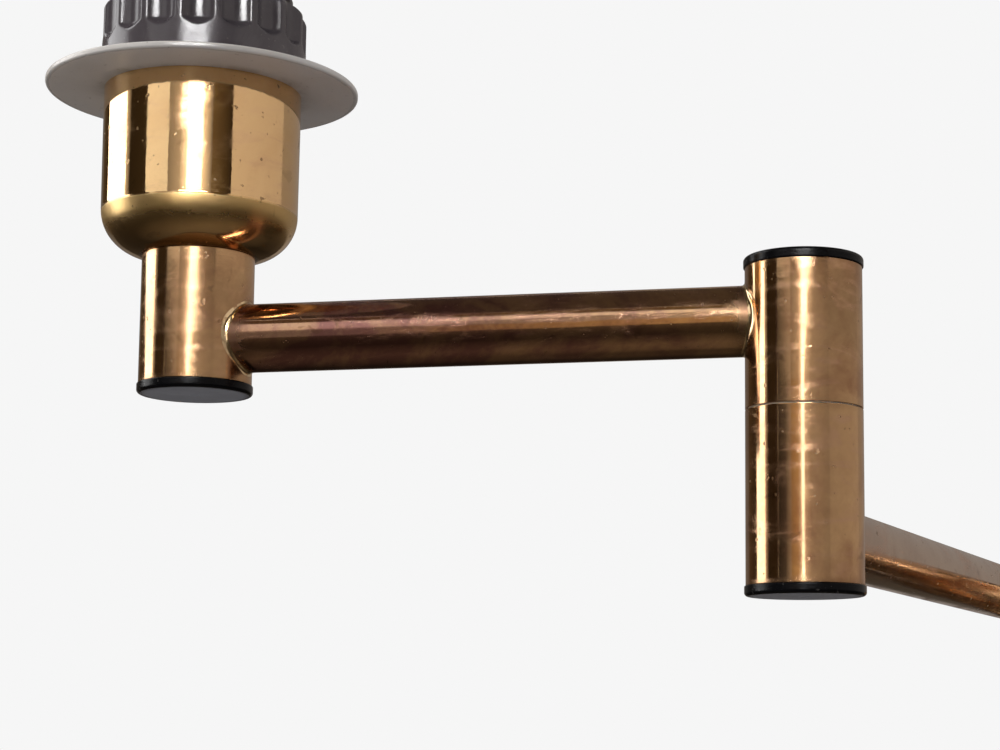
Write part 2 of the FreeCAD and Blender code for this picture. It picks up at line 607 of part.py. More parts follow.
def holder_skirt():
    """Outer shell: its thread takes the shade ring and its lip holds the insert down."""
    rim_arc = on_circle(HOLDER_THREAD_RADIUS - HOLDER_RIM_ROUND, HOLDER_RIM - HOLDER_RIM_ROUND,
                        HOLDER_RIM_ROUND, 45)
    return turned((SKIRT_BORE, DOME_SHOULDER), (HOLDER_THREAD_RADIUS, DOME_SHOULDER),
                  (HOLDER_THREAD_RADIUS, HOLDER_RIM - HOLDER_RIM_ROUND),
                  (rim_arc, (HOLDER_THREAD_RADIUS - HOLDER_RIM_ROUND, HOLDER_RIM)),
                  (HOLDER_LIP_BORE, HOLDER_RIM), (HOLDER_LIP_BORE, LIP_FOOT), (SKIRT_BORE, LIP_FOOT))


def holder_insert():
    """Insulating inner body: a well for the contact, a seat for the screw shell and a sleeve."""
    outer = SKIRT_BORE - INSERT_CLEARANCE
    sleeve = SHELL_RADIUS + LOOSE_CLEARANCE
    well = SOCKET_BORE_RADIUS - SHELL_SEAT_LIP
    return turned((0, INSERT_FOOT), (outer, INSERT_FOOT), (outer, SHELL_TOP), (sleeve, SHELL_TOP),
                  (sleeve, SHELL_SEAT), (well, SHELL_SEAT), (well, INSERT_FLOOR), (0, INSERT_FLOOR))


def centre_contact():
    """Springy strip: a foot on the insert's floor, a slope and a level tip on the axis."""
    low = INSERT_FLOOR
    profile = [(-CONTACT_REACH, low), (-CONTACT_BEND, low), (-CONTACT_TIP, low + CONTACT_RISE),
               (CONTACT_TIP, low + CONTACT_RISE)]
    lower = [point(x, -CONTACT_WIDTH / 2, z) for x, z in profile]
    upper = [corner + UP * CONTACT_THICKNESS for corner in reversed(lower)]
    return Part.Face(Part.makePolygon(lower + upper + lower[:1])).extrude(TO_WALL * CONTACT_WIDTH)


def holder_terminals():
    posts = []
    screws = []
    for side in (-1, 1):
        axis = RIGHT * (side * TERMINAL_OFFSET)
        low = axis + UP * (INSERT_FOOT - TERMINAL_LENGTH)
        post = rod(TERMINAL_RADIUS, low, axis + UP * INSERT_FOOT)
        post = post.cut(rod(CORE_RADIUS + LOOSE_CLEARANCE, low - UP * PAST, low + UP * TERMINAL_HOLE_DEPTH))
        waist = low + UP * TERMINAL_SCREW_UP
        seat = waist + OUTWARD * (TERMINAL_RADIUS + LOOSE_CLEARANCE)
        bottom = waist + OUTWARD * (CORE_RADIUS + LOOSE_CLEARANCE)
        posts.append(post.cut(rod(TERMINAL_SCREW_RADIUS + THREAD_CLEARANCE, waist, seat + OUTWARD * PAST)))
        shank_length = seat.distanceToPoint(bottom)
        screws.append(screw(seat, TO_WALL, TERMINAL_SCREW_RADIUS, shank_length, TERMINAL_SCREW_HEAD,
                            TERMINAL_SCREW_RADIUS))
    return posts, screws


terminal_posts, terminal_post_screws = holder_terminals()
pieces["cup"] = placed(cup(), 0, HEAD)
pieces["shade_disc"] = placed(shade_disc(), 0, HEAD)
pieces["shade_ring"] = placed(shade_ring(), 0, HEAD)
pieces["holder_dome"] = placed(holder_dome(), 0, HEAD)
pieces["holder_skirt"] = placed(holder_skirt(), 0, HEAD)
pieces["holder_insert"] = placed(holder_insert(), 0, HEAD)
screw_shell = ring(SHELL_RADIUS, SOCKET_BORE_RADIUS, SHELL_SEAT, SHELL_TOP)
pieces["screw_shell"] = placed(screw_shell, 0, HEAD)
pieces["centre_contact"] = placed(centre_contact(), 0, HEAD)
pieces["holder_terminals"] = placed(group(terminal_posts), 0, HEAD)
pieces["holder_terminal_screws"] = placed(group(terminal_post_screws), 0, HEAD)


# Rose, backplate and stub

ROSE_FRONT = -ROSE_DEPTH
ROSE_INSIDE_FRONT = ROSE_FRONT + ROSE_WALL
SWITCH_AXIS = point(0, 0, -SWITCH_DROP)
EAR_OUTSIDE = ROSE_BORE - LOOSE_CLEARANCE
SIDE_SCREW_FROM_WALL = BACKPLATE_THICKNESS + (EAR_DEPTH - BACKPLATE_THICKNESS) / 2
SWITCH_TOP = -SWITCH_DROP + SWITCH_SIZE / 2
SWITCH_TAG_OFFSET = SWITCH_SIZE / 2 - SWITCH_TAG_FROM_SIDE
SWITCH_TAG_DEPTH = ROSE_INSIDE_FRONT + SWITCH_TAG_BACK
STUB_NUT_FOOT = -(ROSE_INSIDE_FRONT + STUB_WASHER_THICKNESS)
STUB_NIPPLE_END = STUB_NUT_FOOT - NUT_HEIGHT - NIPPLE_STANDS_PROUD


def facing_room(shape, origin):
    """Lay a shape about Z down so that its +Z points away from the wall."""
    laid = shape.copy()
    laid.rotate(point(0, 0, 0), RIGHT, 90)
    laid.translate(origin)
    return laid


def rose_cover():
    centre_r = ROSE_RADIUS - ROSE_FRONT_ROUND
    centre_z = ROSE_DEPTH - ROSE_FRONT_ROUND
    outside_arc = on_circle(centre_r, centre_z, ROSE_FRONT_ROUND, 45)
    inside_arc = on_circle(centre_r, centre_z, ROSE_FRONT_ROUND - ROSE_WALL, 45)
    cover = turned((ROSE_BORE, 0), (ROSE_RADIUS, 0), (ROSE_RADIUS, centre_z),
                   (outside_arc, (centre_r, ROSE_DEPTH)), (0, ROSE_DEPTH), (0, ROSE_DEPTH - ROSE_WALL),
                   (centre_r, ROSE_DEPTH - ROSE_WALL), (inside_arc, (ROSE_BORE, centre_z)))
    cover = facing_room(cover, point(0, 0, 0))
    cover = drilled(cover, NIPPLE_RADIUS + LOOSE_CLEARANCE, point(0, ROSE_INSIDE_FRONT, 0),
                    point(0, ROSE_FRONT, 0))
    cover = drilled(cover, BUSH_RADIUS + LOOSE_CLEARANCE, SWITCH_AXIS + OUTWARD * (ROSE_DEPTH - ROSE_WALL),
                    SWITCH_AXIS + OUTWARD * ROSE_DEPTH)
    for side in (-1, 1):
        inner = RIGHT * (side * (ROSE_BORE - ROSE_WALL)) + OUTWARD * SIDE_SCREW_FROM_WALL
        outer = RIGHT * (side * ROSE_RADIUS) + OUTWARD * SIDE_SCREW_FROM_WALL
        cover = drilled(cover, SIDE_SCREW_RADIUS + LOOSE_CLEARANCE, inner, outer)
    return cover


def backplate():
    """Round steel plate with slots for the wall screws and two ears for the rose."""
    plate_radius = ROSE_BORE - BACKPLATE_RIM_GAP
    plate = ring(plate_radius, SUPPLY_HOLE_RADIUS, 0, BACKPLATE_THICKNESS)
    for side in (-1, 1):
        far = EAR_OUTSIDE
        near = plate_radius - 2 * EAR_THICKNESS
        foot = Part.makeBox(far - near, EAR_WIDTH, BACKPLATE_THICKNESS, point(near, -EAR_WIDTH / 2, 0))
        ear_face = math.sqrt(EAR_OUTSIDE ** 2 - (EAR_WIDTH / 2) ** 2) - EAR_THICKNESS
        ear = Part.makeBox(far - ear_face, EAR_WIDTH, EAR_DEPTH, point(ear_face, -EAR_WIDTH / 2, 0))
        both = foot.fuse(ear).common(Part.makeCylinder(EAR_OUTSIDE, EAR_DEPTH))
        both.rotate(point(0, 0, 0), UP, 90 - 90 * side)
        plate = plate.fuse(both)
    for side in (-1, 1):
        middle = side * WALL_SCREW_SPACING / 2
        half_run = WALL_SLOT_LENGTH / 2 - WALL_SLOT_HALF_WIDTH
        ends = [point(middle + end * half_run, 0, 0) for end in (-1, 1)]
        slot = Part.makeBox(2 * half_run, 2 * WALL_SLOT_HALF_WIDTH, BACKPLATE_THICKNESS + 2 * PAST,
                            point(middle - half_run, -WALL_SLOT_HALF_WIDTH, -PAST))
        for end in ends:
            slot = slot.fuse(rod(WALL_SLOT_HALF_WIDTH, end - UP * PAST, end + UP * (BACKPLATE_THICKNESS + PAST)))
        plate = plate.cut(slot)
    plate = facing_room(plate.removeSplitter(), point(0, 0, 0))
    for side in (-1, 1):
        inner = RIGHT * (side * (EAR_OUTSIDE - 2 * EAR_THICKNESS)) + OUTWARD * SIDE_SCREW_FROM_WALL
        outer = RIGHT * (side * EAR_OUTSIDE) + OUTWARD * SIDE_SCREW_FROM_WALL
        plate = drilled(plate, SIDE_SCREW_RADIUS + THREAD_CLEARANCE, inner, outer)
    for seat in (BLOCK_SCREW_PLACE, EARTH_SCREW_PLACE):
        plate = drilled(plate, PLATE_SCREW_RADIUS + THREAD_CLEARANCE, seat, seat + OUTWARD * BACKPLATE_THICKNESS)
    return plate


def side_screws():
    both = []
    for side in (-1, 1):
        seat = RIGHT * (side * (ROSE_RADIUS + SPRING_CLEARANCE)) + OUTWARD * SIDE_SCREW_FROM_WALL
        both.append(screw(seat, RIGHT * -side, SIDE_SCREW_RADIUS, SIDE_SCREW_LENGTH, SIDE_SCREW_HEAD_RADIUS,
                          SIDE_SCREW_HEAD_HEIGHT))
    return group(both)


BLOCK_MIDDLE = BLOCK_ABOVE_AXIS + BLOCK_HEIGHT / 2
BLOCK_SCREW_PLACE = point(0, 0, BLOCK_MIDDLE)
EARTH_SCREW_PLACE = point(-EARTH_SCREW_OUT, 0, -EARTH_SCREW_OUT)
BLOCK_FRONT = -(BACKPLATE_THICKNESS + BLOCK_DEPTH)
POLE_DEPTH = BACKPLATE_THICKNESS + BLOCK_DEPTH / 2
POLE_SCREW_DEPTH = BLOCK_DEPTH / 2 - CORE_RADIUS - POLE_HOLE_CLEARANCE


def terminal_block():
    """Two-pole block. Wires enter from above and below, and screws from the front."""
    block = Part.makeBox(BLOCK_WIDTH, BLOCK_DEPTH, BLOCK_HEIGHT,
                         point(-BLOCK_WIDTH / 2, BLOCK_FRONT, BLOCK_ABOVE_AXIS))
    block = drilled(block, PLATE_SCREW_RADIUS + LOOSE_CLEARANCE, BLOCK_SCREW_PLACE,
                    BLOCK_SCREW_PLACE + OUTWARD * -BLOCK_FRONT)
    screws = []
    for side in (-1, 1):
        low = point(side * POLE_PITCH / 2, -POLE_DEPTH, BLOCK_ABOVE_AXIS)
        block = drilled(block, CORE_RADIUS + POLE_HOLE_CLEARANCE, low, low + UP * BLOCK_HEIGHT)
        for end in (-1, 1):
            seat = point(side * POLE_PITCH / 2, BLOCK_FRONT, BLOCK_MIDDLE + end * POLE_SCREW_SPACING / 2)
            deep = seat + TO_WALL * POLE_SCREW_DEPTH
            block = block.cut(rod(TERMINAL_SCREW_RADIUS + THREAD_CLEARANCE, seat + OUTWARD * PAST, deep))
            screws.append(screw(seat, TO_WALL, TERMINAL_SCREW_RADIUS, POLE_SCREW_DEPTH - LOOSE_CLEARANCE,
                                TERMINAL_SCREW_HEAD, TERMINAL_SCREW_RADIUS))
    return block, group(screws)


def switch_housing():
    """Sealed switch: a square body inside the rose and a threaded bush through it."""
    inside = ROSE_INSIDE_FRONT
    body = Part.makeBox(SWITCH_SIZE, SWITCH_DEPTH, SWITCH_SIZE,
                        point(-SWITCH_SIZE / 2, inside, -SWITCH_DROP - SWITCH_SIZE / 2))
    bush_front = SWITCH_AXIS + OUTWARD * (ROSE_DEPTH + SWITCH_BUSH_OUT)
    body = body.fuse(rod(BUSH_RADIUS, SWITCH_AXIS + OUTWARD * (ROSE_DEPTH - ROSE_WALL), bush_front))
    depth = BUTTON_SEATED + BUTTON_TRAVEL + LOOSE_CLEARANCE
    body = body.cut(rod(BUSH_BORE, bush_front + TO_WALL * depth, bush_front + OUTWARD * PAST))
    for side in (-1, 1):
        entry = point(side * SWITCH_TAG_OFFSET, SWITCH_TAG_DEPTH, SWITCH_TOP)
        body = body.cut(rod(CORE_RADIUS + LOOSE_CLEARANCE, entry + UP * PAST, entry - UP * SWITCH_HOLE_DEPTH))
    return body


def switch_button():
    front = ROSE_DEPTH + SWITCH_BUSH_OUT + BUTTON_OUT
    back = ROSE_DEPTH + SWITCH_BUSH_OUT - BUTTON_SEATED
    edge = on_circle(BUTTON_RADIUS - BUTTON_ROUND, front - BUTTON_ROUND, BUTTON_ROUND, 45)
    knob = turned((0, back), (BUTTON_RADIUS, back), (BUTTON_RADIUS, front - BUTTON_ROUND),
                  (edge, (BUTTON_RADIUS - BUTTON_ROUND, front)), (0, front))
    return facing_room(knob, SWITCH_AXIS)


def stub_tube():
    """Short arm from the rose's front into the wall knuckle."""
    reach = WALL_PIVOT_REACH - ROSE_DEPTH
    tube = rod(ARM_RADIUS, point(0, 0, 0), point(reach, 0, 0))
    tube = drilled(tube, ARM_BORE, point(0, 0, 0), point(reach, 0, 0))
    tube = tube.cut(rod(KNUCKLE_BORE, point(0, 0, -2 * ARM_RADIUS), point(0, 0, 2 * ARM_RADIUS)))
    return max(tube.Solids, key=lambda solid: solid.Volume)


block_solid, block_screws = terminal_block()
pieces["rose_cover"] = rose_cover()
pieces["backplate"] = backplate()
pieces["rose_side_screws"] = side_screws()
pieces["terminal_block"] = block_solid
pieces["terminal_screws"] = block_screws
pieces["terminal_block_screw"] = screw(BLOCK_SCREW_PLACE + OUTWARD * -BLOCK_FRONT, TO_WALL, PLATE_SCREW_RADIUS,
                                       BLOCK_DEPTH + BACKPLATE_THICKNESS - LOOSE_CLEARANCE,
                                       PLATE_SCREW_HEAD_RADIUS, PLATE_SCREW_HEAD_HEIGHT)
EARTH_SCREW_SEAT = BACKPLATE_THICKNESS + EARTH_EYELET_ROOM
pieces["earth_screw"] = screw(EARTH_SCREW_PLACE + OUTWARD * EARTH_SCREW_SEAT, TO_WALL, PLATE_SCREW_RADIUS,
                              EARTH_SCREW_SEAT - LOOSE_CLEARANCE, PLATE_SCREW_HEAD_RADIUS,
                              PLATE_SCREW_HEAD_HEIGHT)
pieces["switch_housing"] = switch_housing()
switch_nut = ring(SWITCH_NUT_RADIUS, BUSH_RADIUS + THREAD_CLEARANCE, ROSE_DEPTH,
                  ROSE_DEPTH + SWITCH_NUT_THICKNESS, EDGE_BREAK)
pieces["switch_ring_nut"] = facing_room(switch_nut, SWITCH_AXIS)
pieces["switch_button"] = switch_button()
pieces["stub_tube"] = placed(stub_tube(), TOWARD_WALL_AZIMUTH, WALL_PIVOT)
bush_outer = ARM_BORE - SOLDER_CLEARANCE
stub_bush = ring(bush_outer, NIPPLE_RADIUS + THREAD_CLEARANCE, ROSE_DEPTH, ROSE_DEPTH + STUB_BUSH_LENGTH)
pieces["stub_bush"] = facing_room(stub_bush, point(0, 0, 0))
stub_washer = ring(STUB_WASHER_RADIUS, NIPPLE_RADIUS + LOOSE_CLEARANCE, STUB_NUT_FOOT,
                   STUB_NUT_FOOT + STUB_WASHER_THICKNESS)
pieces["stub_washer"] = facing_room(stub_washer, point(0, 0, 0))
stub_nut = hex_nut(NIPPLE_RADIUS + THREAD_CLEARANCE, STUB_NUT_FOOT - NUT_HEIGHT, NUT_HEIGHT)
pieces["stub_lock_nut"] = facing_room(stub_nut, point(0, 0, 0))
stub_nipple = nipple(STUB_NIPPLE_END, ROSE_DEPTH + STUB_BUSH_LENGTH)
pieces["stub_nipple"] = facing_room(stub_nipple, point(0, 0, 0))


# Cable: one length per arm. The lengths meet face to face on the pivots' axes,
# halfway through each seam, so the arms can turn past one another.

SEAM_MEETING = SEAM_ABOVE_LOWER_ARM + SEAM_WASHER_THICKNESS / 2
LOWER_BEND = SEAM_ABOVE_LOWER_ARM + NIPPLE_FOOT
UPPER_BEND = UPPER_ARM_ABOVE_SEAM - NIPPLE_TOP
HEAD_BEND = HEAD_NUT_FOOT - NIPPLE_STANDS_PROUD
SHEATH_END_IN_HEAD = HEAD_NIPPLE_TOP + SHEATH_PAST_NIPPLE
ROSE_CABLE_Y = -(STUB_NIPPLE_END - ROSE_CABLE_BEND)
SHEATH_END_IN_ROSE = ROSE_CABLE_BEND + SHEATH_PAST_BEND

wall_cable_points = [
    WALL_PIVOT + UP * SEAM_MEETING,
    WALL_PIVOT,
    point(0, ROSE_CABLE_Y, 0),
    point(0, ROSE_CABLE_Y, SHEATH_END_IN_ROSE),
]
inner_cable_points = [
    WALL_PIVOT + UP * SEAM_MEETING,
    INNER_ARM_START,
    ELBOW,
    ELBOW + UP * SEAM_MEETING,
]
outer_cable_points = [
    ELBOW + UP * SEAM_MEETING,
    OUTER_ARM_START,
    HEAD,
    HEAD + UP * SHEATH_END_IN_HEAD,
]
pieces["wall_cable"] = routed(CABLE_RADIUS, wall_cable_points, [LOWER_BEND, ROSE_CABLE_BEND])
pieces["inner_arm_cable"] = routed(CABLE_RADIUS, inner_cable_points, [UPPER_BEND, LOWER_BEND])
pieces["outer_arm_cable"] = routed(CABLE_RADIUS, outer_cable_points, [UPPER_BEND, HEAD_BEND])


def core(points):
    return routed(CORE_RADIUS, points, largest_bends(points))


def holder_cores():
    """The two insulated cores, from the end of the sheath up to the holder's terminals."""
    both = []
    for side in (-1, 1):
        low = point(side * CORE_OFFSET, 0, SHEATH_END_IN_HEAD)
        entry = point(side * TERMINAL_OFFSET, 0, INSERT_FOOT - TERMINAL_LENGTH)
        seated = entry + UP * TERMINAL_SCREW_UP
        rise = (entry.z - low.z) / 3
        both.append(core([low, low + UP * rise, entry - UP * rise, seated]))
    return placed(group(both), 0, HEAD)


def switched_live():
    """Live core from the end of the sheath, over to the right and down to the switch."""
    start = point(0, ROSE_CABLE_Y - CORE_OFFSET, SHEATH_END_IN_ROSE)
    tag = point(SWITCH_TAG_OFFSET, SWITCH_TAG_DEPTH, SWITCH_TOP)
    side_run = STUB_WASHER_RADIUS - NIPPLE_WALL
    return core([
        start,
        start + UP * LIVE_LEAD,
        point(side_run, start.y, SHEATH_END_IN_ROSE + CORE_RADIUS),
        point(side_run, tag.y, SWITCH_TOP + SWITCH_SIZE / 2),
        tag + UP * SWITCH_SIZE / 4,
        tag - UP * SWITCH_WIRE_SEATED,
    ])


def supply_live():
    """Live feed from the terminal block, down on the left to the switch."""
    pole = point(-POLE_PITCH / 2, -POLE_DEPTH, BLOCK_ABOVE_AXIS)
    tag = point(-SWITCH_TAG_OFFSET, SWITCH_TAG_DEPTH, SWITCH_TOP)
    side_run = STUB_WASHER_RADIUS - NIPPLE_WALL
    return core([
        pole + UP * POLE_WIRE_SEATED,
        pole - UP * POLE_LEAD,
        point(-side_run, ROSE_CABLE_Y, SHEATH_END_IN_ROSE / 2),
        point(-side_run, tag.y, SWITCH_TOP + SWITCH_SIZE / 2),
        tag + UP * SWITCH_SIZE / 4,
        tag - UP * SWITCH_WIRE_SEATED,
    ])


def neutral():
    """Neutral core from the end of the sheath to the terminal block."""
    start = point(0, ROSE_CABLE_Y + CORE_OFFSET, SHEATH_END_IN_ROSE)
    pole = point(POLE_PITCH / 2, -POLE_DEPTH, BLOCK_ABOVE_AXIS)
    return core([
        start,
        start + UP * NEUTRAL_LEAD,
        pole - UP * NEUTRAL_LEAD,
        pole + UP * POLE_WIRE_SEATED,
    ])


pieces["holder_cores"] = holder_cores()
pieces["live_wires"] = group([switched_live(), supply_live()])
pieces["neutral_wire"] = neutral()

os.makedirs("parts", exist_ok=True)
for name, shape in pieces.items():
    shape.exportStep("parts/%s.step" % name)
print(len(pieces), "sub-parts")
print("elbow axis at (%.2f, %.2f), seam at %.2f" % (ELBOW.x, ELBOW.y, ELBOW.z + SEAM_ABOVE_LOWER_ARM))
print("head axis at (%.2f, %.2f), outer arm at %.2f" % (HEAD.x, HEAD.y, HEAD.z))
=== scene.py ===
# %% [markdown]
# # A brass swing arm wall light
# This lesson dresses a finished model of a wall light: a round rose on the wall, two
# arms that swing on stacked knuckles, and an upright lampholder in a brass cup.
# The pieces that the eye rests on are turned, threaded and fluted anew with fine
# meshes, and every piece gets a finish of its own.

# %% Load the fixed frame
import math
import bpy
import bmesh
from mathutils import Matrix, Vector


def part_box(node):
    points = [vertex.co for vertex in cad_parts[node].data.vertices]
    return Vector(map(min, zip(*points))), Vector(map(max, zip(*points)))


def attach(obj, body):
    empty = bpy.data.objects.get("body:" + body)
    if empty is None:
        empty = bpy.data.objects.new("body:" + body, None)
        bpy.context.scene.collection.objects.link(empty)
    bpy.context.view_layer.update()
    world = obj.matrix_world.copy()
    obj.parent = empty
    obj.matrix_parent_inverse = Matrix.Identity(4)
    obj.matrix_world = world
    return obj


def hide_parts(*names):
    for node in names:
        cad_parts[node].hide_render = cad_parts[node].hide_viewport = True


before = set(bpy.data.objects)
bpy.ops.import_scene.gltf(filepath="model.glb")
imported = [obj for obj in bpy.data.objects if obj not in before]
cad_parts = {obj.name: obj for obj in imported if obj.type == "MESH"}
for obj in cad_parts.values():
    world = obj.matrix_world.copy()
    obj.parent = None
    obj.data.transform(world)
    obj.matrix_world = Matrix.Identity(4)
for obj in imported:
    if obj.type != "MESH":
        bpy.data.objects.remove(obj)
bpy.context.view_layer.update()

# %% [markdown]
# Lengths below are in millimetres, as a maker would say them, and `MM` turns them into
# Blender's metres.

MM = 0.001
scene = bpy.context.scene


def middle(node):
    """Middle of a node's box, in millimetres."""
    low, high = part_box(node)
    return (Vector(low) + Vector(high)) / (2 * MM)


def low_and_high(node):
    """Lowest and highest point of a node, in millimetres."""
    low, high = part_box(node)
    return low[2] / MM, high[2] / MM


def back_and_front(node):
    """How far a node's back and front lie from the wall, in millimetres."""
    low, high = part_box(node)
    return -high[1] / MM, -low[1] / MM


def ramp(value, low, high):
    """0 at low, 1 at high, straight between them and level beyond."""
    return min(1.0, max(0.0, (value - low) / (high - low)))


def fading(distance, reach):
    """1 at no distance, and less the farther away."""
    return math.exp(-max(0.0, distance) / reach)


# %% [markdown]
# ## Camera
# A camera could be aimed with a Track To constraint, but here its turn was worked out
# from the outlines of the light, so the matrix is written straight from three angles:
# where it looks, how far it tips up and how much it leans. A small lens shift places the
# light in the frame.

# %% Camera
CAMERA_PLACE = Vector((594.091, -473.622, 3.961)) * MM
LOOK_TURN, LOOK_UP, LEAN = (math.radians(angle) for angle in (-65.7045, 7.384, 0.145))

forward = Vector((math.sin(LOOK_TURN) * math.cos(LOOK_UP), math.cos(LOOK_TURN) * math.cos(LOOK_UP),
                  math.sin(LOOK_UP)))
level_right = Vector((math.cos(LOOK_TURN), -math.sin(LOOK_TURN), 0))
upright = level_right.cross(forward)
right = math.cos(LEAN) * level_right + math.sin(LEAN) * upright
up = -math.sin(LEAN) * level_right + math.cos(LEAN) * upright
camera_data = bpy.data.cameras.new("camera")
camera_data.lens = 78.76
camera_data.shift_x = -0.15
camera_data.shift_y = 0.075
camera_data.clip_start = 0.02
camera = bpy.data.objects.new("camera", camera_data)
turn = Matrix((right, up, -forward)).transposed().to_4x4()
camera.matrix_world = Matrix.Translation(CAMERA_PLACE) @ turn
scene.collection.objects.link(camera)
scene.camera = camera
scene.view_settings.view_transform = "Standard"
print("camera looks along", tuple(round(value, 3) for value in forward))

# %% [markdown]
# ## Wiring node trees
# Finishes, the floor and the geometry trees all need the same few nodes. One small
# class that adds a node and hands back its output keeps each recipe readable.


# %% Wiring helper
class Wiring:
    """A node tree being wired. Most calls add one node and give its output."""

    def __init__(self, tree):
        self.tree = tree

    def add(self, kind, **settings):
        node = self.tree.nodes.new(kind)
        for name, value in settings.items():
            setattr(node, name, value)
        return node

    def feed(self, socket, value):
        if isinstance(value, bpy.types.NodeSocket):
            self.tree.links.new(value, socket)
        else:
            socket.default_value = value

    def made(self, kind, *values, out=0, **settings):
        """Add a node, feed its first sockets, and give its output."""
        node = self.add(kind, **settings)
        for socket, value in zip(node.inputs, values):
            self.feed(socket, value)
        return node.outputs[out]

    def math(self, operation, *values, clamp=False):
        return self.made("ShaderNodeMath", *values, operation=operation, use_clamp=clamp)

    def times(self, *values, **clamp):
        return self.math("MULTIPLY", *values, **clamp)

    def plus(self, *values, **clamp):
        return self.math("ADD", *values, **clamp)

    def minus(self, *values):
        return self.math("SUBTRACT", *values)

    def over(self, *values, **clamp):
        return self.math("DIVIDE", *values, **clamp)

    def larger(self, *values):
        return self.math("MAXIMUM", *values)

    def pile(self, base, *layers, **clamp):
        """A number with more laid on it. A layer is (value, factor)."""
        for value, factor in layers:
            base = self.math("MULTIPLY_ADD", value, factor, base, **clamp)
        return base

    def step(self, value, low, high, to_low=0.0, to_high=1.0):
        """Smooth step between two levels."""
        return self.made("ShaderNodeMapRange", value, low, high, to_low, to_high,
                         interpolation_type="SMOOTHSTEP")

    def blend(self, share, first, second):
        """Mix of two colours."""
        node = self.add("ShaderNodeMix", data_type="RGBA")
        for index, value in ((0, share), (6, first), (7, second)):
            self.feed(node.inputs[index], value)
        return node.outputs[2]

    def coats(self, colour, *layers):
        """A colour under several coats. A coat is (where, how thick, its colour)."""
        for where, thick, coat in layers:
            colour = self.blend(self.times(where, thick), colour, (*coat, 1))
        return colour

    def choose(self, share, first, second):
        """Mix of two shaders."""
        return self.made("ShaderNodeMixShader", share, first, second)

    def noise(self, place, scale, detail=3.0, rough=0.55, twist=0.0):
        node = self.add("ShaderNodeTexNoise")
        for label, value in zip(("Vector", "Scale", "Detail", "Roughness", "Distortion"),
                                (place, scale, detail, rough, twist)):
            self.feed(node.inputs[label], value)
        return node.outputs[0]

    def mapped(self, place, turn=(0, 0, 0), scale=(1, 1, 1), shift=(0, 0, 0)):
        return self.made("ShaderNodeMapping", place, shift, turn, scale)

    def length(self, place):
        return self.made("ShaderNodeVectorMath", place, out="Value", operation="LENGTH")

    def mark(self, name):
        """A number painted on the mesh, 0 where there is none."""
        return self.add("ShaderNodeAttribute", attribute_name=name).outputs["Fac"]

    def seen_directly(self):
        """1 for the eye, mirrors and glass, 0 for the light that falls on other things."""
        ray = self.add("ShaderNodeLightPath").outputs
        direct = self.larger(ray["Is Camera Ray"], ray["Is Glossy Ray"])
        return self.larger(direct, ray["Is Transmission Ray"])


def new_finish(name):
    """An empty finish: its wiring, its shader and its object coordinates."""
    finish = bpy.data.materials.new(name)
    finish.use_nodes = True
    wiring = Wiring(finish.node_tree)
    shader = finish.node_tree.nodes["Principled BSDF"]
    place = wiring.add("ShaderNodeTexCoord").outputs["Object"]
    return finish, wiring, shader, place


def surface(wiring, shader, colour, rough, height, depth, metal=0.0):
    """Feed a shader its colour, its roughness and a bump that is so many millimetres deep."""
    bump = wiring.add("ShaderNodeBump")
    bump.inputs["Distance"].default_value = depth * MM
    wiring.feed(bump.inputs["Height"], height)
    for label, value in (("Base Color", colour), ("Roughness", rough), ("Normal", bump.outputs[0])):
        wiring.feed(shader.inputs[label], value)
    shader.inputs["Metallic"].default_value = metal


# %% [markdown]
# ## Studio
# The background is a pale world that the camera and reflections see at full strength,
# while it lights the piece at a lower level. Three soft lamps give the rest. The floor
# is pale for the eye and darker for the light that it throws back, so the underside of
# the shade disc stays in shade, and it fades out before its edge.

# %% World
BACKGROUND, SKY, SKY_LEVEL = (0.922, 0.922, 0.922, 1), (0.97, 0.98, 1.0, 1), 0.5
world = bpy.data.worlds.new("studio")
world.use_nodes = True
scene.world = world
wiring = Wiring(world.node_tree)
world.node_tree.nodes.clear()
seen = wiring.add("ShaderNodeBackground")
seen.inputs["Color"].default_value = BACKGROUND
lights = wiring.add("ShaderNodeBackground")
lights.inputs["Color"].default_value = SKY
lights.inputs["Strength"].default_value = SKY_LEVEL
choice = wiring.choose(wiring.seen_directly(), lights.outputs[0], seen.outputs[0])
wiring.feed(wiring.add("ShaderNodeOutputWorld").inputs["Surface"], choice)

# %% Lamps
STUDIO_MIDDLE = Vector((76, -245, 70)) * MM
LOOK_AZIMUTH = 90 - math.degrees(LOOK_TURN)


def toward(azimuth, elevation):
    """Unit vector to a direction. Azimuth is counted from +X toward +Y, in degrees."""
    around, above = math.radians(azimuth), math.radians(elevation)
    level = Vector((math.cos(around), math.sin(around), 0))
    return level * math.cos(above) + Vector((0, 0, math.sin(above)))


def lamp(name, azimuth, elevation, distance, size, watts, colour):
    data = bpy.data.lights.new(name, "AREA")
    data.energy = watts
    data.size = size
    data.color = colour
    lamp_object = bpy.data.objects.new(name, data)
    way = toward(LOOK_AZIMUTH + azimuth, elevation)
    lamp_object.location = STUDIO_MIDDLE + way * distance
    lamp_object.rotation_euler = way.to_track_quat("Z", "Y").to_euler()
    lamp_object.visible_glossy = False
    scene.collection.objects.link(lamp_object)


lamp("key_lamp", 118, 35, 1.6, 0.9, 9.0, (1.0, 0.98, 0.95))
lamp("side_lamp", 72, 20, 1.6, 0.8, 5.0, (1.0, 0.99, 0.97))
lamp("back_lamp", -35, 40, 1.8, 0.9, 4.0, (0.97, 0.98, 1.0))

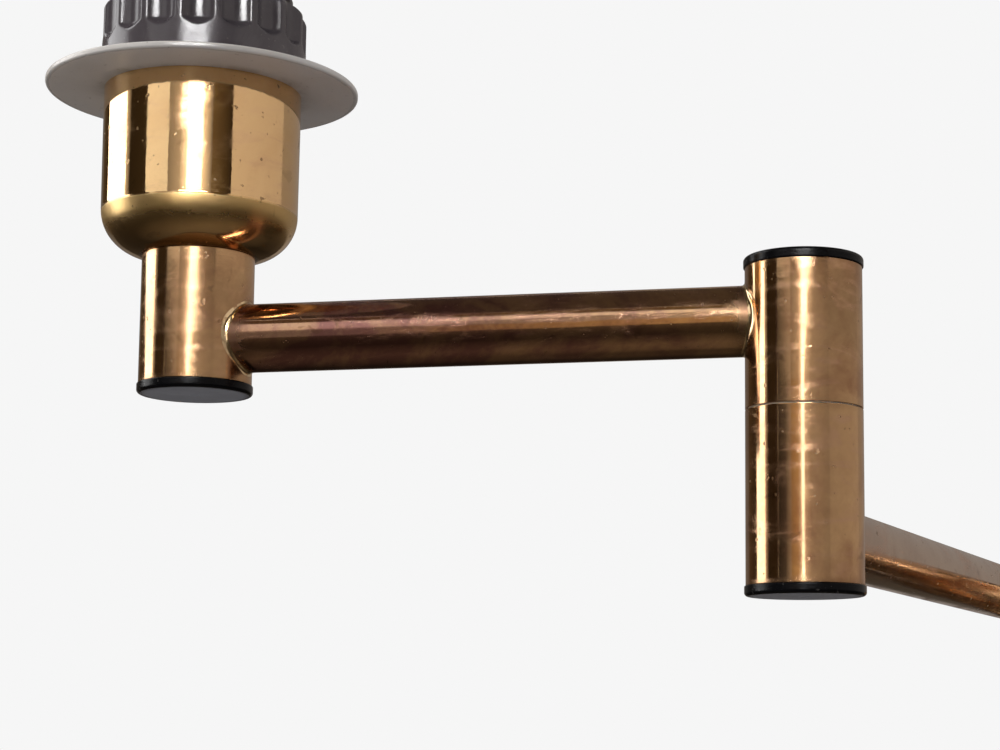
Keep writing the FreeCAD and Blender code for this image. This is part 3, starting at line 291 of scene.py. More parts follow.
# %% Floor
FLOOR_BELOW, FLOOR_RADIUS, FADE_FROM, FADE_TO = -0.36, 4.0, 0.7, 3.2
UNDERLIGHT = (0.24, 0.24, 0.25, 1)
floor_mesh = bpy.data.meshes.new("floor")
floor_builder = bmesh.new()
bmesh.ops.create_circle(floor_builder, cap_ends=True, segments=64, radius=FLOOR_RADIUS,
                        matrix=Matrix.Translation((STUDIO_MIDDLE.x, STUDIO_MIDDLE.y, FLOOR_BELOW)))
floor_builder.to_mesh(floor_mesh)
floor_builder.free()
floor = bpy.data.objects.new("floor", floor_mesh)
scene.collection.objects.link(floor)
floor_finish, wiring, shader, place = new_finish("floor_paper")
paper = wiring.times(wiring.noise(place, 300.0, 2.0), 0.1)
pale = wiring.blend(paper, (0.93, 0.93, 0.93, 1), (0.86, 0.86, 0.86, 1))
wiring.feed(shader.inputs["Base Color"], wiring.blend(wiring.seen_directly(), UNDERLIGHT, pale))
shader.inputs["Roughness"].default_value = 0.9
shader.inputs["Specular IOR Level"].default_value = 0.1
centred = wiring.mapped(place, shift=(-STUDIO_MIDDLE.x, -STUDIO_MIDDLE.y, -FLOOR_BELOW))
fade = wiring.step(wiring.length(centred), FADE_FROM, FADE_TO)
clear = wiring.add("ShaderNodeBsdfTransparent")
output = floor_finish.node_tree.nodes["Material Output"]
wiring.feed(output.inputs["Surface"], wiring.choose(fade, shader.outputs[0], clear.outputs[0]))
floor.data.materials.append(floor_finish)
print("floor at", FLOOR_BELOW, "m")

# %% [markdown]
# ## Panels for the brass to mirror
# Polished brass has no look of its own: it shows the room. A photographer places white
# and black cards round it, out of the picture, and each makes one upright stripe on the
# round pieces. Here a card is a patch of a large sphere, given by its azimuths at its
# lower and upper edge, counted leftward from the way the camera looks. Only
# reflections see the cards, so they throw no shade. A card may be brighter at one end
# than at the other, which makes a stripe with one soft edge.

# %% Cards
CARD_DISTANCE, CARD_COLUMNS, CARD_ROWS = 3.0, 12, 6


def card(name, low_edge, high_edge, levels, tint=(1, 1, 1)):
    """A patch of sphere. An edge is (first azimuth, last azimuth, elevation)."""
    columns, rows = CARD_COLUMNS, CARD_ROWS
    corners, glows = [], []
    for row in range(rows + 1):
        share = row / rows
        first, last, height = (low + (high - low) * share for low, high in zip(low_edge, high_edge))
        for column in range(columns + 1):
            across = column / columns
            way = toward(LOOK_AZIMUTH + first + (last - first) * across, height)
            corners.append(STUDIO_MIDDLE + way * CARD_DISTANCE)
            glows.append(levels[0] + (levels[1] - levels[0]) * across)
    faces = []
    for row in range(rows):
        for column in range(columns):
            corner = row * (columns + 1) + column
            faces.append((corner, corner + 1, corner + columns + 2, corner + columns + 1))
    mesh = bpy.data.meshes.new(name)
    mesh.from_pydata(corners, [], faces)
    mesh.attributes.new("glow", "FLOAT", "POINT").data.foreach_set("value", glows)
    piece = bpy.data.objects.new(name, mesh)
    scene.collection.objects.link(piece)
    glowing(piece, tint)


def glowing(piece, tint):
    """Light a piece by its glow numbers, for reflections only."""
    finish = bpy.data.materials.new(piece.name)
    finish.use_nodes = True
    finish.node_tree.nodes.clear()
    wiring = Wiring(finish.node_tree)
    glow = wiring.add("ShaderNodeEmission")
    glow.inputs["Color"].default_value = (*tint, 1)
    wiring.feed(glow.inputs["Strength"], wiring.mark("glow"))
    wiring.feed(wiring.add("ShaderNodeOutputMaterial").inputs["Surface"], glow.outputs[0])
    piece.data.materials.append(finish)
    for kind in ("camera", "diffuse", "shadow", "transmission", "volume_scatter"):
        setattr(piece, "visible_" + kind, False)


WARM, WOOD = (1.0, 0.9, 0.82), (1.0, 0.72, 0.42)
CARDS = (
    # Left: a tall window, a dark curtain, then a smaller window that ends above eye level.
    ("window_left_low", (74, 96, -12), (72, 96, 9.5), (3.2, 3.2)),
    ("window_left", (72, 96, 9.5), (58, 96, 14), (3.2, 3.2)),
    ("window_left_top", (58, 96, 14), (55, 96, 45), (3.2, 3.2)),
    ("curtain_edge", (96, 104, -12), (96, 101, 45), (0.7, 0.08), WARM),
    ("curtain", (104, 126, -12), (101, 125, 45), (0.025, 0.035), WOOD),
    ("small_window", (125, 152, 12.8), (125, 152, 21), (1.0, 0.92), (1.0, 0.97, 0.93)),
    ("small_window_top", (125, 152, 21), (125, 163, 34), (1.0, 0.95)),
    ("wall_under_window", (126, 142, -12), (126, 142, 9), (0.03, 0.07), WARM),
    ("wall_by_strip", (142, 152, -12), (142, 152, 9), (0.1, 0.32), WARM),
    ("sill", (126, 152, 9), (125, 152, 12.8), (0.07, 0.4), WARM),
    ("wall_over_window", (125, 163, 34), (125, 163, 45), (0.13, 0.13), WOOD),
    # Front: a narrow bright strip between soft grey flanks.
    ("front_left_low", (152, 168, -12), (152, 166, 9), (0.3, 0.5), WOOD),
    ("front_left", (152, 166, 9), (152, 165, 25), (0.27, 0.5), WARM),
    ("front_left_rise", (166, 171.5, 9), (165, 173, 17.6), (0.5, 1.5), WARM),
    ("front_left_rise_low", (168, 171, -12), (166, 171.5, 9), (0.5, 1.0), WARM),
    ("front_strip_low", (171, 175.5, -12), (171.5, 176.5, 9), (3.2, 3.0)),
    ("front_strip", (171.5, 176.5, 9), (173, 190, 13.4), (3.2, 3.2)),
    ("front_strip_top", (173, 190, 13.4), (173, 194, 17.6), (3.2, 3.2)),
    ("window_glare", (165, 196, 17.6), (165, 197, 25), (34, 34)),
    ("front_top", (163, 197, 25), (163, 197, 45), (0.9, 1.4)),
    ("front_right_fall_low", (175.5, 186, -12), (176.5, 188, 9), (0.7, 0.36), WARM),
    ("front_right_fall", (176.5, 188, 9), (190, 201, 13.4), (0.9, 0.38), WARM),
    ("front_right_fall_top", (190, 201, 13.4), (195, 202, 45), (1.2, 0.14), WARM),
    ("front_right_low", (186, 224, -12), (188, 224, 9), (0.34, 0.26), WARM),
    ("front_right", (188, 224, 9), (201, 224, 13.4), (0.36, 0.26), WARM),
    ("black_front", (201, 224, 13.4), (202, 224, 45), (0.13, 0.03), WOOD),
    # Right and behind: dim walls.
    ("pale_right", (224, 300, 13.4), (224, 300, 45), (0.62, 0.5), WARM),
    ("pale_right_middle", (224, 300, 10), (224, 300, 13.4), (0.24, 0.26), WARM),
    ("pale_right_low", (224, 300, -12), (224, 300, 10), (0.31, 0.36), WARM),
    ("dim_back_right", (300, 362, -12), (300, 362, 45), (0.3, 0.26), WARM),
    ("dim_back_left", (362, 400, -12), (362, 400, 45), (0.2, 0.12), WARM),
    ("black_left", (400, 434, -12), (400, 432, 9.5), (0.08, 0.03), WOOD),
    ("black_left_rise", (400, 432, 9.5), (400, 418, 14), (0.08, 0.03), WOOD),
    ("black_left_top", (400, 418, 14), (400, 415, 45), (0.08, 0.03), WOOD),
    ("dark_ceiling", (0, 360, 45), (0, 360, 89), (0.07, 0.07), (1.0, 0.82, 0.66)),
)
for row in CARDS:
    card(*row)
print(len(CARDS), "cards placed")

# %% [markdown]
# The floor would show between the arms and the lowest card, so a round mat lies just
# above it, seen by reflections only. It is wood coloured: dark at a distance, paler right
# below the light and paler behind it on the right.

# %% Mat
MAT_RINGS = ((0.0, 0.12), (0.22, 0.13), (0.36, 0.09), (0.6, 0.04), (1.1, 0.05), (1.6, 0.07),
             (3.0, 0.1))
MAT_COLUMNS, MAT_LIFT, MAT_TINT = 72, 0.004, (1.0, 0.8, 0.58)
PALE_AZIMUTH, PALE_SPREAD, PALE_LEVEL, PALE_FROM = 330, 35, 0.05, 1.6
mat_mesh = bpy.data.meshes.new("wooden_mat")
mat_corners, mat_glows, mat_faces = [], [], []
for radius, level in MAT_RINGS:
    for column in range(MAT_COLUMNS):
        azimuth = 360 * column / MAT_COLUMNS
        spot = STUDIO_MIDDLE + toward(LOOK_AZIMUTH + azimuth, 0) * radius
        mat_corners.append((spot.x, spot.y, FLOOR_BELOW + MAT_LIFT))
        in_front = (1 - math.cos(math.radians(azimuth))) / 2
        behind_right = ramp(abs(azimuth - PALE_AZIMUTH), PALE_SPREAD, 0)
        paler = PALE_LEVEL * behind_right * ramp(radius, 0, PALE_FROM)
        mat_glows.append(level * (0.4 + 0.6 * in_front) + paler)
for ring in range(len(MAT_RINGS) - 1):
    for column in range(MAT_COLUMNS):
        following = (column + 1) % MAT_COLUMNS
        inner, outer = ring * MAT_COLUMNS, (ring + 1) * MAT_COLUMNS
        mat_faces.append((inner + column, outer + column, outer + following, inner + following))
mat_mesh.from_pydata(mat_corners, [], mat_faces)
mat_mesh.attributes.new("glow", "FLOAT", "POINT").data.foreach_set("value", mat_glows)
mat = bpy.data.objects.new("wooden_mat", mat_mesh)
scene.collection.objects.link(mat)
glowing(mat, MAT_TINT)

# %% [markdown]
# ## Turning
# Most of this light came off a lathe or a spinning chuck. A Screw modifier could turn a
# profile, but writing the rings directly lets a piece carry extra numbers on its points,
# such as how deep it lies in a crevice. Corners are given with their rounding, because
# it is the small rounds that catch the light.


# %% Profiles
SUPPORT = 0.12


def rounded(corners, step, arc_steps):
    """Points of a closed profile. A corner is (radius from axis, height, rounding)."""
    points = []
    count = len(corners)
    for index, (radius, height, rounding) in enumerate(corners):
        here = Vector((radius, height))
        if rounding <= 0:
            points.append(here)
            continue
        before = Vector(corners[index - 1][:2])
        after = Vector(corners[(index + 1) % count][:2])
        back = (before - here).normalized()
        ahead = (after - here).normalized()
        half = back.angle(ahead) / 2
        distance = rounding / math.tan(half)
        centre = here + (back + ahead).normalized() * (rounding / math.sin(half))
        first = here + back * distance - centre
        last = here + ahead * distance - centre
        sweep = math.pi - 2 * half
        support = min(SUPPORT, rounding)
        if (before - here).length - distance > 3 * support:
            points.append(here + back * (distance + support))
        for part in range(arc_steps + 1):
            share = part / arc_steps
            spoke = first * math.sin((1 - share) * sweep) + last * math.sin(share * sweep)
            points.append(centre + spoke / math.sin(sweep))
        if (after - here).length - distance > 3 * support:
            points.append(here + ahead * (distance + support))
    filled = []
    for index, point in enumerate(points):
        following = points[(index + 1) % len(points)]
        parts = max(1, math.ceil((following - point).length / step))
        filled.extend(point.lerp(following, part / parts) for part in range(parts))
    return filled


def skin(builder, loops):
    """Faces between closed loops of points, the last loop joined to the first. A pole is a
    loop of one point."""
    for index, lower in enumerate(loops):
        upper = loops[(index + 1) % len(loops)]
        sides = max(len(lower), len(upper))
        for side in range(sides):
            following = (side + 1) % sides
            corners = dict.fromkeys((lower[side % len(lower)], lower[following % len(lower)],
                                     upper[following % len(upper)], upper[side % len(upper)]))
            if len(corners) > 2:
                builder.faces.new(tuple(corners))


def turned(name, profile, sides, place=Matrix.Identity(4), marks=None):
    """Mesh object of a closed profile turned about local Z and then put in its place."""
    builder = bmesh.new()
    rings = []
    for point in profile:
        ring = []
        for side in range(sides if point.x > 1e-6 else 1):
            angle = 2 * math.pi * side / sides
            local = Vector((point.x * math.cos(angle), point.x * math.sin(angle), point.y))
            ring.append(builder.verts.new((place @ local) * MM))
        rings.append(ring)
    skin(builder, rings)
    return finished_mesh(name, builder, marks)


SHARP_FROM = 38


def finished_mesh(name, builder, marks=None, sharp=SHARP_FROM):
    """Turn faces outward, smooth them, and paint the marks, functions of a place in mm."""
    bmesh.ops.recalc_face_normals(builder, faces=builder.faces)
    mesh = bpy.data.meshes.new(name)
    builder.to_mesh(mesh)
    builder.free()
    mesh.shade_smooth()
    mesh.set_sharp_from_angle(angle=math.radians(sharp))
    for mark, measure in (marks or {}).items():
        layer = mesh.attributes.new(mark, "FLOAT", "POINT")
        layer.data.foreach_set("value", [measure(vertex.co / MM) for vertex in mesh.vertices])
    piece = bpy.data.objects.new(name, mesh)
    scene.collection.objects.link(piece)
    return piece


def dressed(piece, body, slot, finish, *nodes):
    """Give a piece its finish, its body, and the nodes that it stands for."""
    piece.data.materials.clear()
    piece.data.materials.append(finish)
    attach(piece, body)
    if nodes:
        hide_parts(*nodes)
    print("%-24s %6d faces, rides on %s" % (piece.name, len(piece.data.polygons), body))


def upright_at(node):
    """Placement of a piece turned about the node's upright axis."""
    centre = middle(node)
    return Matrix.Translation((centre.x, centre.y, 0))


# %% [markdown]
# ## Brass
# Old polished brass is never one colour. Where hands and cloths reach it, it is pale
# gold. Elsewhere a thin brown film grows in clouds, with darker pin spots, and beside
# the brazed joints the heat has turned it pink. The same pink mark paints a reflection
# of the disc's underside on the cup below its rim, and a dark mark paints shade where
# parts meet. The film also dulls the mirror. The colour clouds come from stretched
# noise, and the joints from the numbers that the meshes carry.


# %% Brass recipe
ROSY, UNPOLISHED, BLUSH_AND_REFLECTION = (0.80, 0.47, 0.33), (0.68, 0.46, 0.18), (0.64, 0.35, 0.27)
STAIN, PIN, JOINT_SHADE = (0.24, 0.12, 0.06), (0.12, 0.06, 0.03), (0.08, 0.04, 0.018)


def brass(name, clean, film, cover, gloss, ripple=0.1, turn=0.0, stretch=(1, 1, 1),
          shift=(0, 0, 0)):
    """Tarnished brass. Cover is how much brown film lies on it, gloss its best roughness,
    and ripple how far small dents in the skin fray the stripes that it mirrors."""
    finish, wiring, shader, place = new_finish(name)
    place = wiring.mapped(place, (0, 0, -math.radians(turn)), stretch, shift)
    clouds = wiring.step(wiring.noise(place, 48.0, 4.0, 0.6, 0.7), 0.36, 0.66)
    slanted = wiring.mapped(place, turn=(0.5, 0.7, 0.2), scale=(1, 1, 3.5))
    smears = wiring.step(wiring.noise(slanted, 55.0, 5.0, 0.68, 1.2), 0.47, 0.68)
    mottle = wiring.noise(place, 260.0, 5.0, 0.68, 0.4)
    pins = wiring.step(wiring.noise(place, 560.0, 2.0, 0.5), 0.69, 0.75)
    stains = wiring.step(wiring.noise(place, 150.0, 3.0, 0.6, 0.8), 0.63, 0.7)
    haze = wiring.step(wiring.noise(place, 120.0, 5.0, 0.7, 0.4), 0.45, 0.75)
    joint_shade, heat, dull, browned = (
        wiring.mark(mark) for mark in ("joint_shade", "heat", "dull", "browned"))
    # The pink mark is heat tint beside brazed joints and, on the cup, a painted reflection of the
    # disc's underside.
    blush_and_reflection = wiring.times(heat, wiring.step(mottle, 0.3, 0.62, 0.35, 0.9), clamp=True)
    cloudy = wiring.pile(-0.1 * cover, (clouds, 0.65 * cover), (mottle, 0.9 * cover))
    metal = wiring.blend(wiring.plus(cloudy, browned, clamp=True), (*clean, 1), (*film, 1))
    # The mark for joints paints shade where parts meet, and roughens the metal there.
    colour = wiring.coats(metal, (smears, 0.45 * cover, ROSY), (dull, 0.8, UNPOLISHED),
                          (blush_and_reflection, 1.0, BLUSH_AND_REFLECTION), (stains, 0.5 * cover, STAIN), (pins, 0.55, PIN),
                          (joint_shade, 0.85, JOINT_SHADE))
    rough = wiring.pile(gloss, (clouds, 0.05), (haze, 0.07), (smears, 0.16 * cover), (dull, 0.28),
                        (joint_shade, 0.3), (pins, 0.25), clamp=True)
    waves = wiring.noise(place, 34.0, 1.0, 0.4)
    dents = wiring.times(wiring.noise(place, 95.0, 2.0, 0.5, 0.5), wiring.pile(0.12, (dull, 4.5)))
    scratches = wiring.noise(wiring.mapped(place, scale=(60, 60, 900)), 1.0, 3.0, 0.7)
    ripples = wiring.noise(place, 230.0, 2.0, 0.55, 0.6)
    height = wiring.pile(waves, (scratches, 0.035), (mottle, 0.04), (dents, 1.0), (ripples, ripple),
                         (pins, -0.12))
    surface(wiring, shader, colour, rough, height, 0.06, metal=1.0)
    return finish


GOLD = (0.93, 0.60, 0.31)
BROWN = (0.50, 0.26, 0.14)
cup_brass = brass("cup_brass", (0.93, 0.64, 0.33), (0.80, 0.48, 0.23), 0.38, 0.03, ripple=0.3)
elbow_brass = brass("elbow_brass", GOLD, BROWN, 0.78, 0.06)
head_brass = brass("head_brass", GOLD, BROWN, 0.62, 0.08, shift=(0.3, 0.1, 0.0))
wall_brass = brass("wall_brass", (0.84, 0.55, 0.29), (0.42, 0.22, 0.12), 0.8, 0.08,
                   shift=(0.7, 0.4, 0.1))
# The rose's brass is darker than the rest: painted shade, so that its reflection in the inner arm
# is dimmer.
rose_brass = brass("rose_brass", (0.70, 0.47, 0.26), (0.38, 0.23, 0.13), 0.5, 0.1,
                   shift=(0.2, 0.9, 0.3))
print("brass finishes made")

# %% [markdown]
# ## Cup
# The cup is spun from sheet over a former: a flat floor on the knuckle, a quarter round
# and a wall that opens a little toward the rim. The buffing wheel reaches the wall but
# not the round, so the points of the round carry a mark that dulls them. A painted
# contact shadow darkens the floor where it sits on the knuckle, and a painted reflection
# of the disc's underside tints the wall pink toward the rim.

# %% Cup
head_place = upright_at("cup")
cup_low, cup_high = low_and_high("cup")
CUP_RIM, CUP_BASE, CUP_WALL, CUP_ROUND, NIPPLE_HOLE = 22.0, 21.75, 0.8, 10.0, 5.1
cup_profile = rounded([
    (NIPPLE_HOLE, cup_low, 0), (CUP_BASE, cup_low, CUP_ROUND), (CUP_RIM, cup_high, 0.25),
    (CUP_RIM - CUP_WALL, cup_high, 0.25),
    (CUP_BASE - CUP_WALL, cup_low + CUP_WALL, CUP_ROUND - CUP_WALL),
    (NIPPLE_HOLE, cup_low + CUP_WALL, 0)], step=1.5, arc_steps=28)
DULL_TOP = cup_low + CUP_ROUND - 0.05
DULL_EDGE, DULL_FULL, DULL_GONE = 0.35, 3.1, 8.6
RIM_REFLECTION, RIM_REFLECTION_GONE, RIM_REFLECTION_FULL = 1.1, 6.0, 2.0
SEAM_RADIUS, CONTACT_SHADOW_WIDTH, ON_FACE = 12.6, 0.9, 0.3


def below_round(spot):
    under = DULL_TOP - spot.z
    return ramp(under, 0, DULL_EDGE) * ramp(under, DULL_GONE, DULL_FULL)


# Painted reflection of the disc's underside: pink below the rim.
def disc_reflection(spot):
    return RIM_REFLECTION * ramp(spot.z - cup_high, -RIM_REFLECTION_GONE, -RIM_REFLECTION_FULL)


# Painted contact shadow: a thin dark ring on the floor where it sits on the knuckle.
def contact_shadow(spot):
    from_seam = abs((spot - head_place.translation).to_2d().length - SEAM_RADIUS)
    return ramp(from_seam, CONTACT_SHADOW_WIDTH, 0) if spot.z < cup_low + ON_FACE else 0.0


cup = turned("cup_spun", cup_profile, 256, head_place,
             {"dull": below_round, "joint_shade": contact_shadow, "heat": disc_reflection})
dressed(cup, "outer_arm", "polished_brass", cup_brass, "cup")

# %% [markdown]
# ## Shade carrier disc
# The disc is pressed steel under stove enamel: ivory, half gloss, with a faint orange
# peel. It has been screwed down and lifted many times, so the enamel is a little chipped
# and dirty at the rim. Close to the ring a painted shade darkens it in patches. Distance
# from the axis steers both.

# %% Enamel
ivory, wiring, shader, place = new_finish("ivory_enamel")
axis = head_place.translation * MM
reach = wiring.length(wiring.mapped(place, shift=(-axis.x, -axis.y, 0), scale=(1, 1, 0)))
grime = wiring.noise(place, 90.0, 5.0, 0.65, 0.5)
flecks = wiring.step(wiring.noise(place, 700.0, 3.0, 0.6), 0.66, 0.72)
yellowing = wiring.step(wiring.noise(place, 35.0, 3.0), 0.35, 0.7)
enamel = wiring.blend(yellowing, (0.82, 0.775, 0.73, 1), (0.77, 0.71, 0.65, 1))
# Painted shade in patches round the foot of the ring.
ring_shade = wiring.times(wiring.step(reach, 0.0255, 0.0225), wiring.step(grime, 0.35, 0.65))
rim = wiring.times(wiring.step(reach, 0.0343, 0.0347), wiring.step(grime, 0.62, 0.68))
enamel = wiring.coats(enamel, (ring_shade, 0.6, (0.42, 0.37, 0.30)), (rim, 0.45, (0.30, 0.26, 0.21)),
                      (flecks, 0.4, (0.35, 0.31, 0.26)))
rolled = wiring.step(reach, 0.0335, 0.0342)
rough = wiring.pile(wiring.step(grime, 0.3, 0.7, 0.3, 0.48), (rolled, -0.2))
peel = wiring.pile(wiring.noise(place, 850.0, 1.0, 0.4), (flecks, -0.6))
surface(wiring, shader, enamel, rough, peel, 0.03)

# %% Disc
disc_low, disc_high = low_and_high("shade_disc")
DISC_RADIUS, DISC_BORE = 34.85, 20.0
disc_profile = rounded([
    (DISC_BORE, disc_low, 0.2), (DISC_RADIUS, disc_low, 0.5), (DISC_RADIUS, disc_high, 0.5),
    (DISC_BORE, disc_high, 0.2)], step=2.0, arc_steps=7)
disc = turned("carrier_disc", disc_profile, 256, head_place)
dressed(disc, "outer_arm", "disc_enamel", ivory, "shade_disc")

# %% [markdown]
# ## Moulded plastic
# The holder and its ring are dark phenolic, the caps a softer plastic. Moulded black
# looks grey where dust and fine scratches break its gloss, so the colour barely varies
# while the roughness and a fine bump do the work. The flat faces of the caps are the
# exception: they carry a painted grey reflection of the pale floor, most on the undersides.


# %% Plastic recipe
def plastic(name, colour, worn, gloss, grain, shine=0.5):
    """Moulded plastic. The flat faces of caps carry a mark that paints a grey reflection of the
    pale floor on them and makes them rougher.
    """
    finish, wiring, shader, place = new_finish(name)
    dust = wiring.step(wiring.noise(place, 70.0, 5.0, 0.7, 0.4), 0.45, 0.75)
    floor_reflection_share = wiring.mark("flat")
    specks = wiring.step(wiring.noise(place, 900.0, 2.0), 0.68, 0.74)
    tone = wiring.coats((*colour, 1), (dust, 0.5, worn), (specks, 0.35, (0.22, 0.2, 0.18)))
    # Marked faces get a painted reflection of the pale floor: grey.
    grey = wiring.blend(dust, (0.42, 0.42, 0.45, 1), (0.50, 0.50, 0.53, 1))
    rough = wiring.step(wiring.noise(place, 150.0, 4.0), 0.3, 0.7, gloss, gloss + 0.12)
    surface(wiring, shader, wiring.blend(floor_reflection_share, tone, grey), wiring.pile(rough, (floor_reflection_share, 0.2)),
            wiring.noise(place, grain, 3.0, 0.6), 0.025)
    shader.inputs["Specular IOR Level"].default_value = shine
    return finish


phenolic = plastic("grey_phenolic", (0.078, 0.066, 0.074), (0.12, 0.107, 0.113), 0.14, 1400.0)
cap_plastic = plastic("cap_plastic", (0.004, 0.004, 0.005), (0.008, 0.008, 0.009), 0.14, 1800.0,
                      shine=0.16)

# %% [markdown]
# ## Trees for ridges and threads
# Flutes, knurls and threads all move the wall of a turned blank in or out by a rule, so
# they suit Geometry Nodes: one tree cuts upright flutes with a round cutter, the other
# rolls a screw thread. Each has named inputs, and the result is made a plain mesh at
# once, because a live tree would not travel with the model.


# %% Tree helpers
def ruled_tree(name, inputs):
    """A geometry tree with named number inputs. Gives its wiring, inputs and point places."""
    tree = bpy.data.node_groups.new(name, "GeometryNodeTree")
    tree.interface.new_socket("Geometry", in_out="INPUT", socket_type="NodeSocketGeometry")
    for label in inputs:
        tree.interface.new_socket(label, in_out="INPUT", socket_type="NodeSocketFloat")
    tree.interface.new_socket("Finish", in_out="INPUT", socket_type="NodeSocketMaterial")
    tree.interface.new_socket("Geometry", in_out="OUTPUT", socket_type="NodeSocketGeometry")
    wiring = Wiring(tree)
    entry = wiring.add("NodeGroupInput")
    spot = wiring.add("ShaderNodeSeparateXYZ")
    wiring.feed(spot.inputs[0], wiring.add("GeometryNodeInputPosition").outputs[0])
    values = {label: entry.outputs[label] for label in inputs}
    x = wiring.minus(spot.outputs[0], values["Axis X"])
    y = wiring.minus(spot.outputs[1], values["Axis Y"])
    reach = wiring.math("SQRT", wiring.plus(wiring.times(x, x), wiring.times(y, y)))
    around = wiring.math("ARCTAN2", y, x)
    return wiring, entry, values, x, y, spot.outputs[2], reach, around


def close_tree(wiring, entry, x, y, reach, new_reach):
    """Move each point out or in to its new distance from the axis, and end the tree."""
    growth = wiring.minus(wiring.over(new_reach, wiring.larger(reach, 1e-6)), 1.0)
    offset = wiring.add("ShaderNodeCombineXYZ")
    wiring.feed(offset.inputs[0], wiring.times(x, growth))
    wiring.feed(offset.inputs[1], wiring.times(y, growth))
    moved = wiring.add("GeometryNodeSetPosition")
    wiring.feed(moved.inputs["Geometry"], entry.outputs["Geometry"])
    wiring.feed(moved.inputs["Offset"], offset.outputs[0])
    real = wiring.add("GeometryNodeRealizeInstances")
    wiring.feed(real.inputs[0], moved.outputs[0])
    finish = wiring.add("GeometryNodeSetMaterial")
    wiring.feed(finish.inputs["Geometry"], real.outputs[0])
    wiring.feed(finish.inputs["Material"], entry.outputs["Finish"])
    wiring.feed(wiring.add("NodeGroupOutput").inputs[0], finish.outputs[0])
    return wiring.tree


def applied(piece, modifier, sharp):
    """Run a modifier on a piece once and keep the result as a plain mesh."""
    shown = piece.evaluated_get(bpy.context.evaluated_depsgraph_get())
    made = bpy.data.meshes.new_from_object(shown)
    piece.modifiers.remove(modifier)
    made.shade_smooth()
    made.set_sharp_from_angle(angle=math.radians(sharp))
    old, piece.data = piece.data, made
    bpy.data.meshes.remove(old)
    made.name = piece.name


RULED_SHARP = 50


def ruled(piece, tree, finish, **numbers):
    """Run a tree on a piece, with a number for each of its inputs."""
    modifier = piece.modifiers.new(tree.name, "NODES")
    modifier.node_group = tree
    for item in tree.interface.items_tree:
        if item.in_out == "INPUT" and item.socket_type == "NodeSocketFloat":
            modifier[item.identifier] = float(numbers[item.name.replace(" ", "_").lower()])
        elif item.in_out == "INPUT" and item.socket_type == "NodeSocketMaterial":
            modifier[item.identifier] = finish
    applied(piece, modifier, RULED_SHARP)


# %% [markdown]
# The flute cutter is a round mill with a bevelled nose, held upright. Seen from the axis,
# its nearest wall lies at `d*cos(a) - sqrt(r*r - (d*sin(a))^2)`, where `a` is the angle to
# the middle of the flute, and the bevel makes `r` shrink toward the foot. A soft minimum
# with the plain wall rounds the edge between flute and land, as a mould does.

# %% Flute tree
wiring, entry, values, x, y, z, reach, around = ruled_tree("cut_flutes", [
    "Axis X", "Axis Y", "Flutes", "First flute", "Cutter radius", "Cutter distance", "Foot",
    "Edge round", "Inner limit"])
pitch = wiring.over(2 * math.pi, values["Flutes"])
turn_share = wiring.over(wiring.minus(around, values["First flute"]), pitch)
off_middle = wiring.times(wiring.minus(turn_share, wiring.math("ROUND", turn_share)), pitch)
below = wiring.larger(wiring.minus(values["Foot"], z), 0.0)
nose = wiring.larger(wiring.minus(values["Cutter radius"], below), 0.0)
aside = wiring.times(values["Cutter distance"], wiring.math("SINE", off_middle))
room = wiring.minus(wiring.times(nose, nose), wiring.times(aside, aside))
ahead = wiring.times(values["Cutter distance"], wiring.math("COSINE", off_middle))
near_wall = wiring.minus(ahead, wiring.math("SQRT", wiring.larger(room, 0.0)))
missed = wiring.math("LESS_THAN", room, 0.0)
cut = wiring.math("SMOOTH_MIN", reach, wiring.plus(near_wall, missed), values["Edge round"])
outside = wiring.math("GREATER_THAN", reach, values["Inner limit"])
new_reach = wiring.plus(reach, wiring.times(wiring.minus(cut, reach), outside))
flute_tree = close_tree(wiring, entry, x, y, reach, new_reach)
print("flute tree has", len(flute_tree.nodes), "nodes")

# %% [markdown]
# The ring is turned first as a plain blank with close rows where the flutes will be, and
# then cut. Its foot keeps a plain band, and its top is well rounded.

# %% Shade ring
ring_low, ring_high = low_and_high("shade_ring")
RING_RADIUS, RING_BORE, RING_TOP_ROUND, RING_BAND = 22.8, 19.66, 2.4, 7.9
FLUTES, FLUTE_FLOOR, CUTTER_RADIUS, FIRST_FLUTE, EDGE_ROUND = 17, 21.1, 4.9, -16.7, 0.3
ring_profile = rounded([
    (RING_BORE, ring_low, 0.2), (RING_RADIUS, ring_low, 0.3),
    (RING_RADIUS, ring_high, RING_TOP_ROUND), (RING_BORE, ring_high, 0.3)], step=0.36, arc_steps=12)
shade_ring = turned("fluted_ring", ring_profile, FLUTES * 30, head_place)
bevel = RING_RADIUS - FLUTE_FLOOR
ruled(shade_ring, flute_tree, phenolic, axis_x=axis.x, axis_y=axis.y, flutes=FLUTES,
      first_flute=math.radians(FIRST_FLUTE), cutter_radius=CUTTER_RADIUS * MM,
      cutter_distance=(FLUTE_FLOOR + CUTTER_RADIUS) * MM, foot=(ring_low + RING_BAND + bevel) * MM,
      edge_round=EDGE_ROUND * MM, inner_limit=(RING_BORE + 0.4) * MM)
dressed(shade_ring, "shade_ring", "holder_plastic", phenolic, "shade_ring")

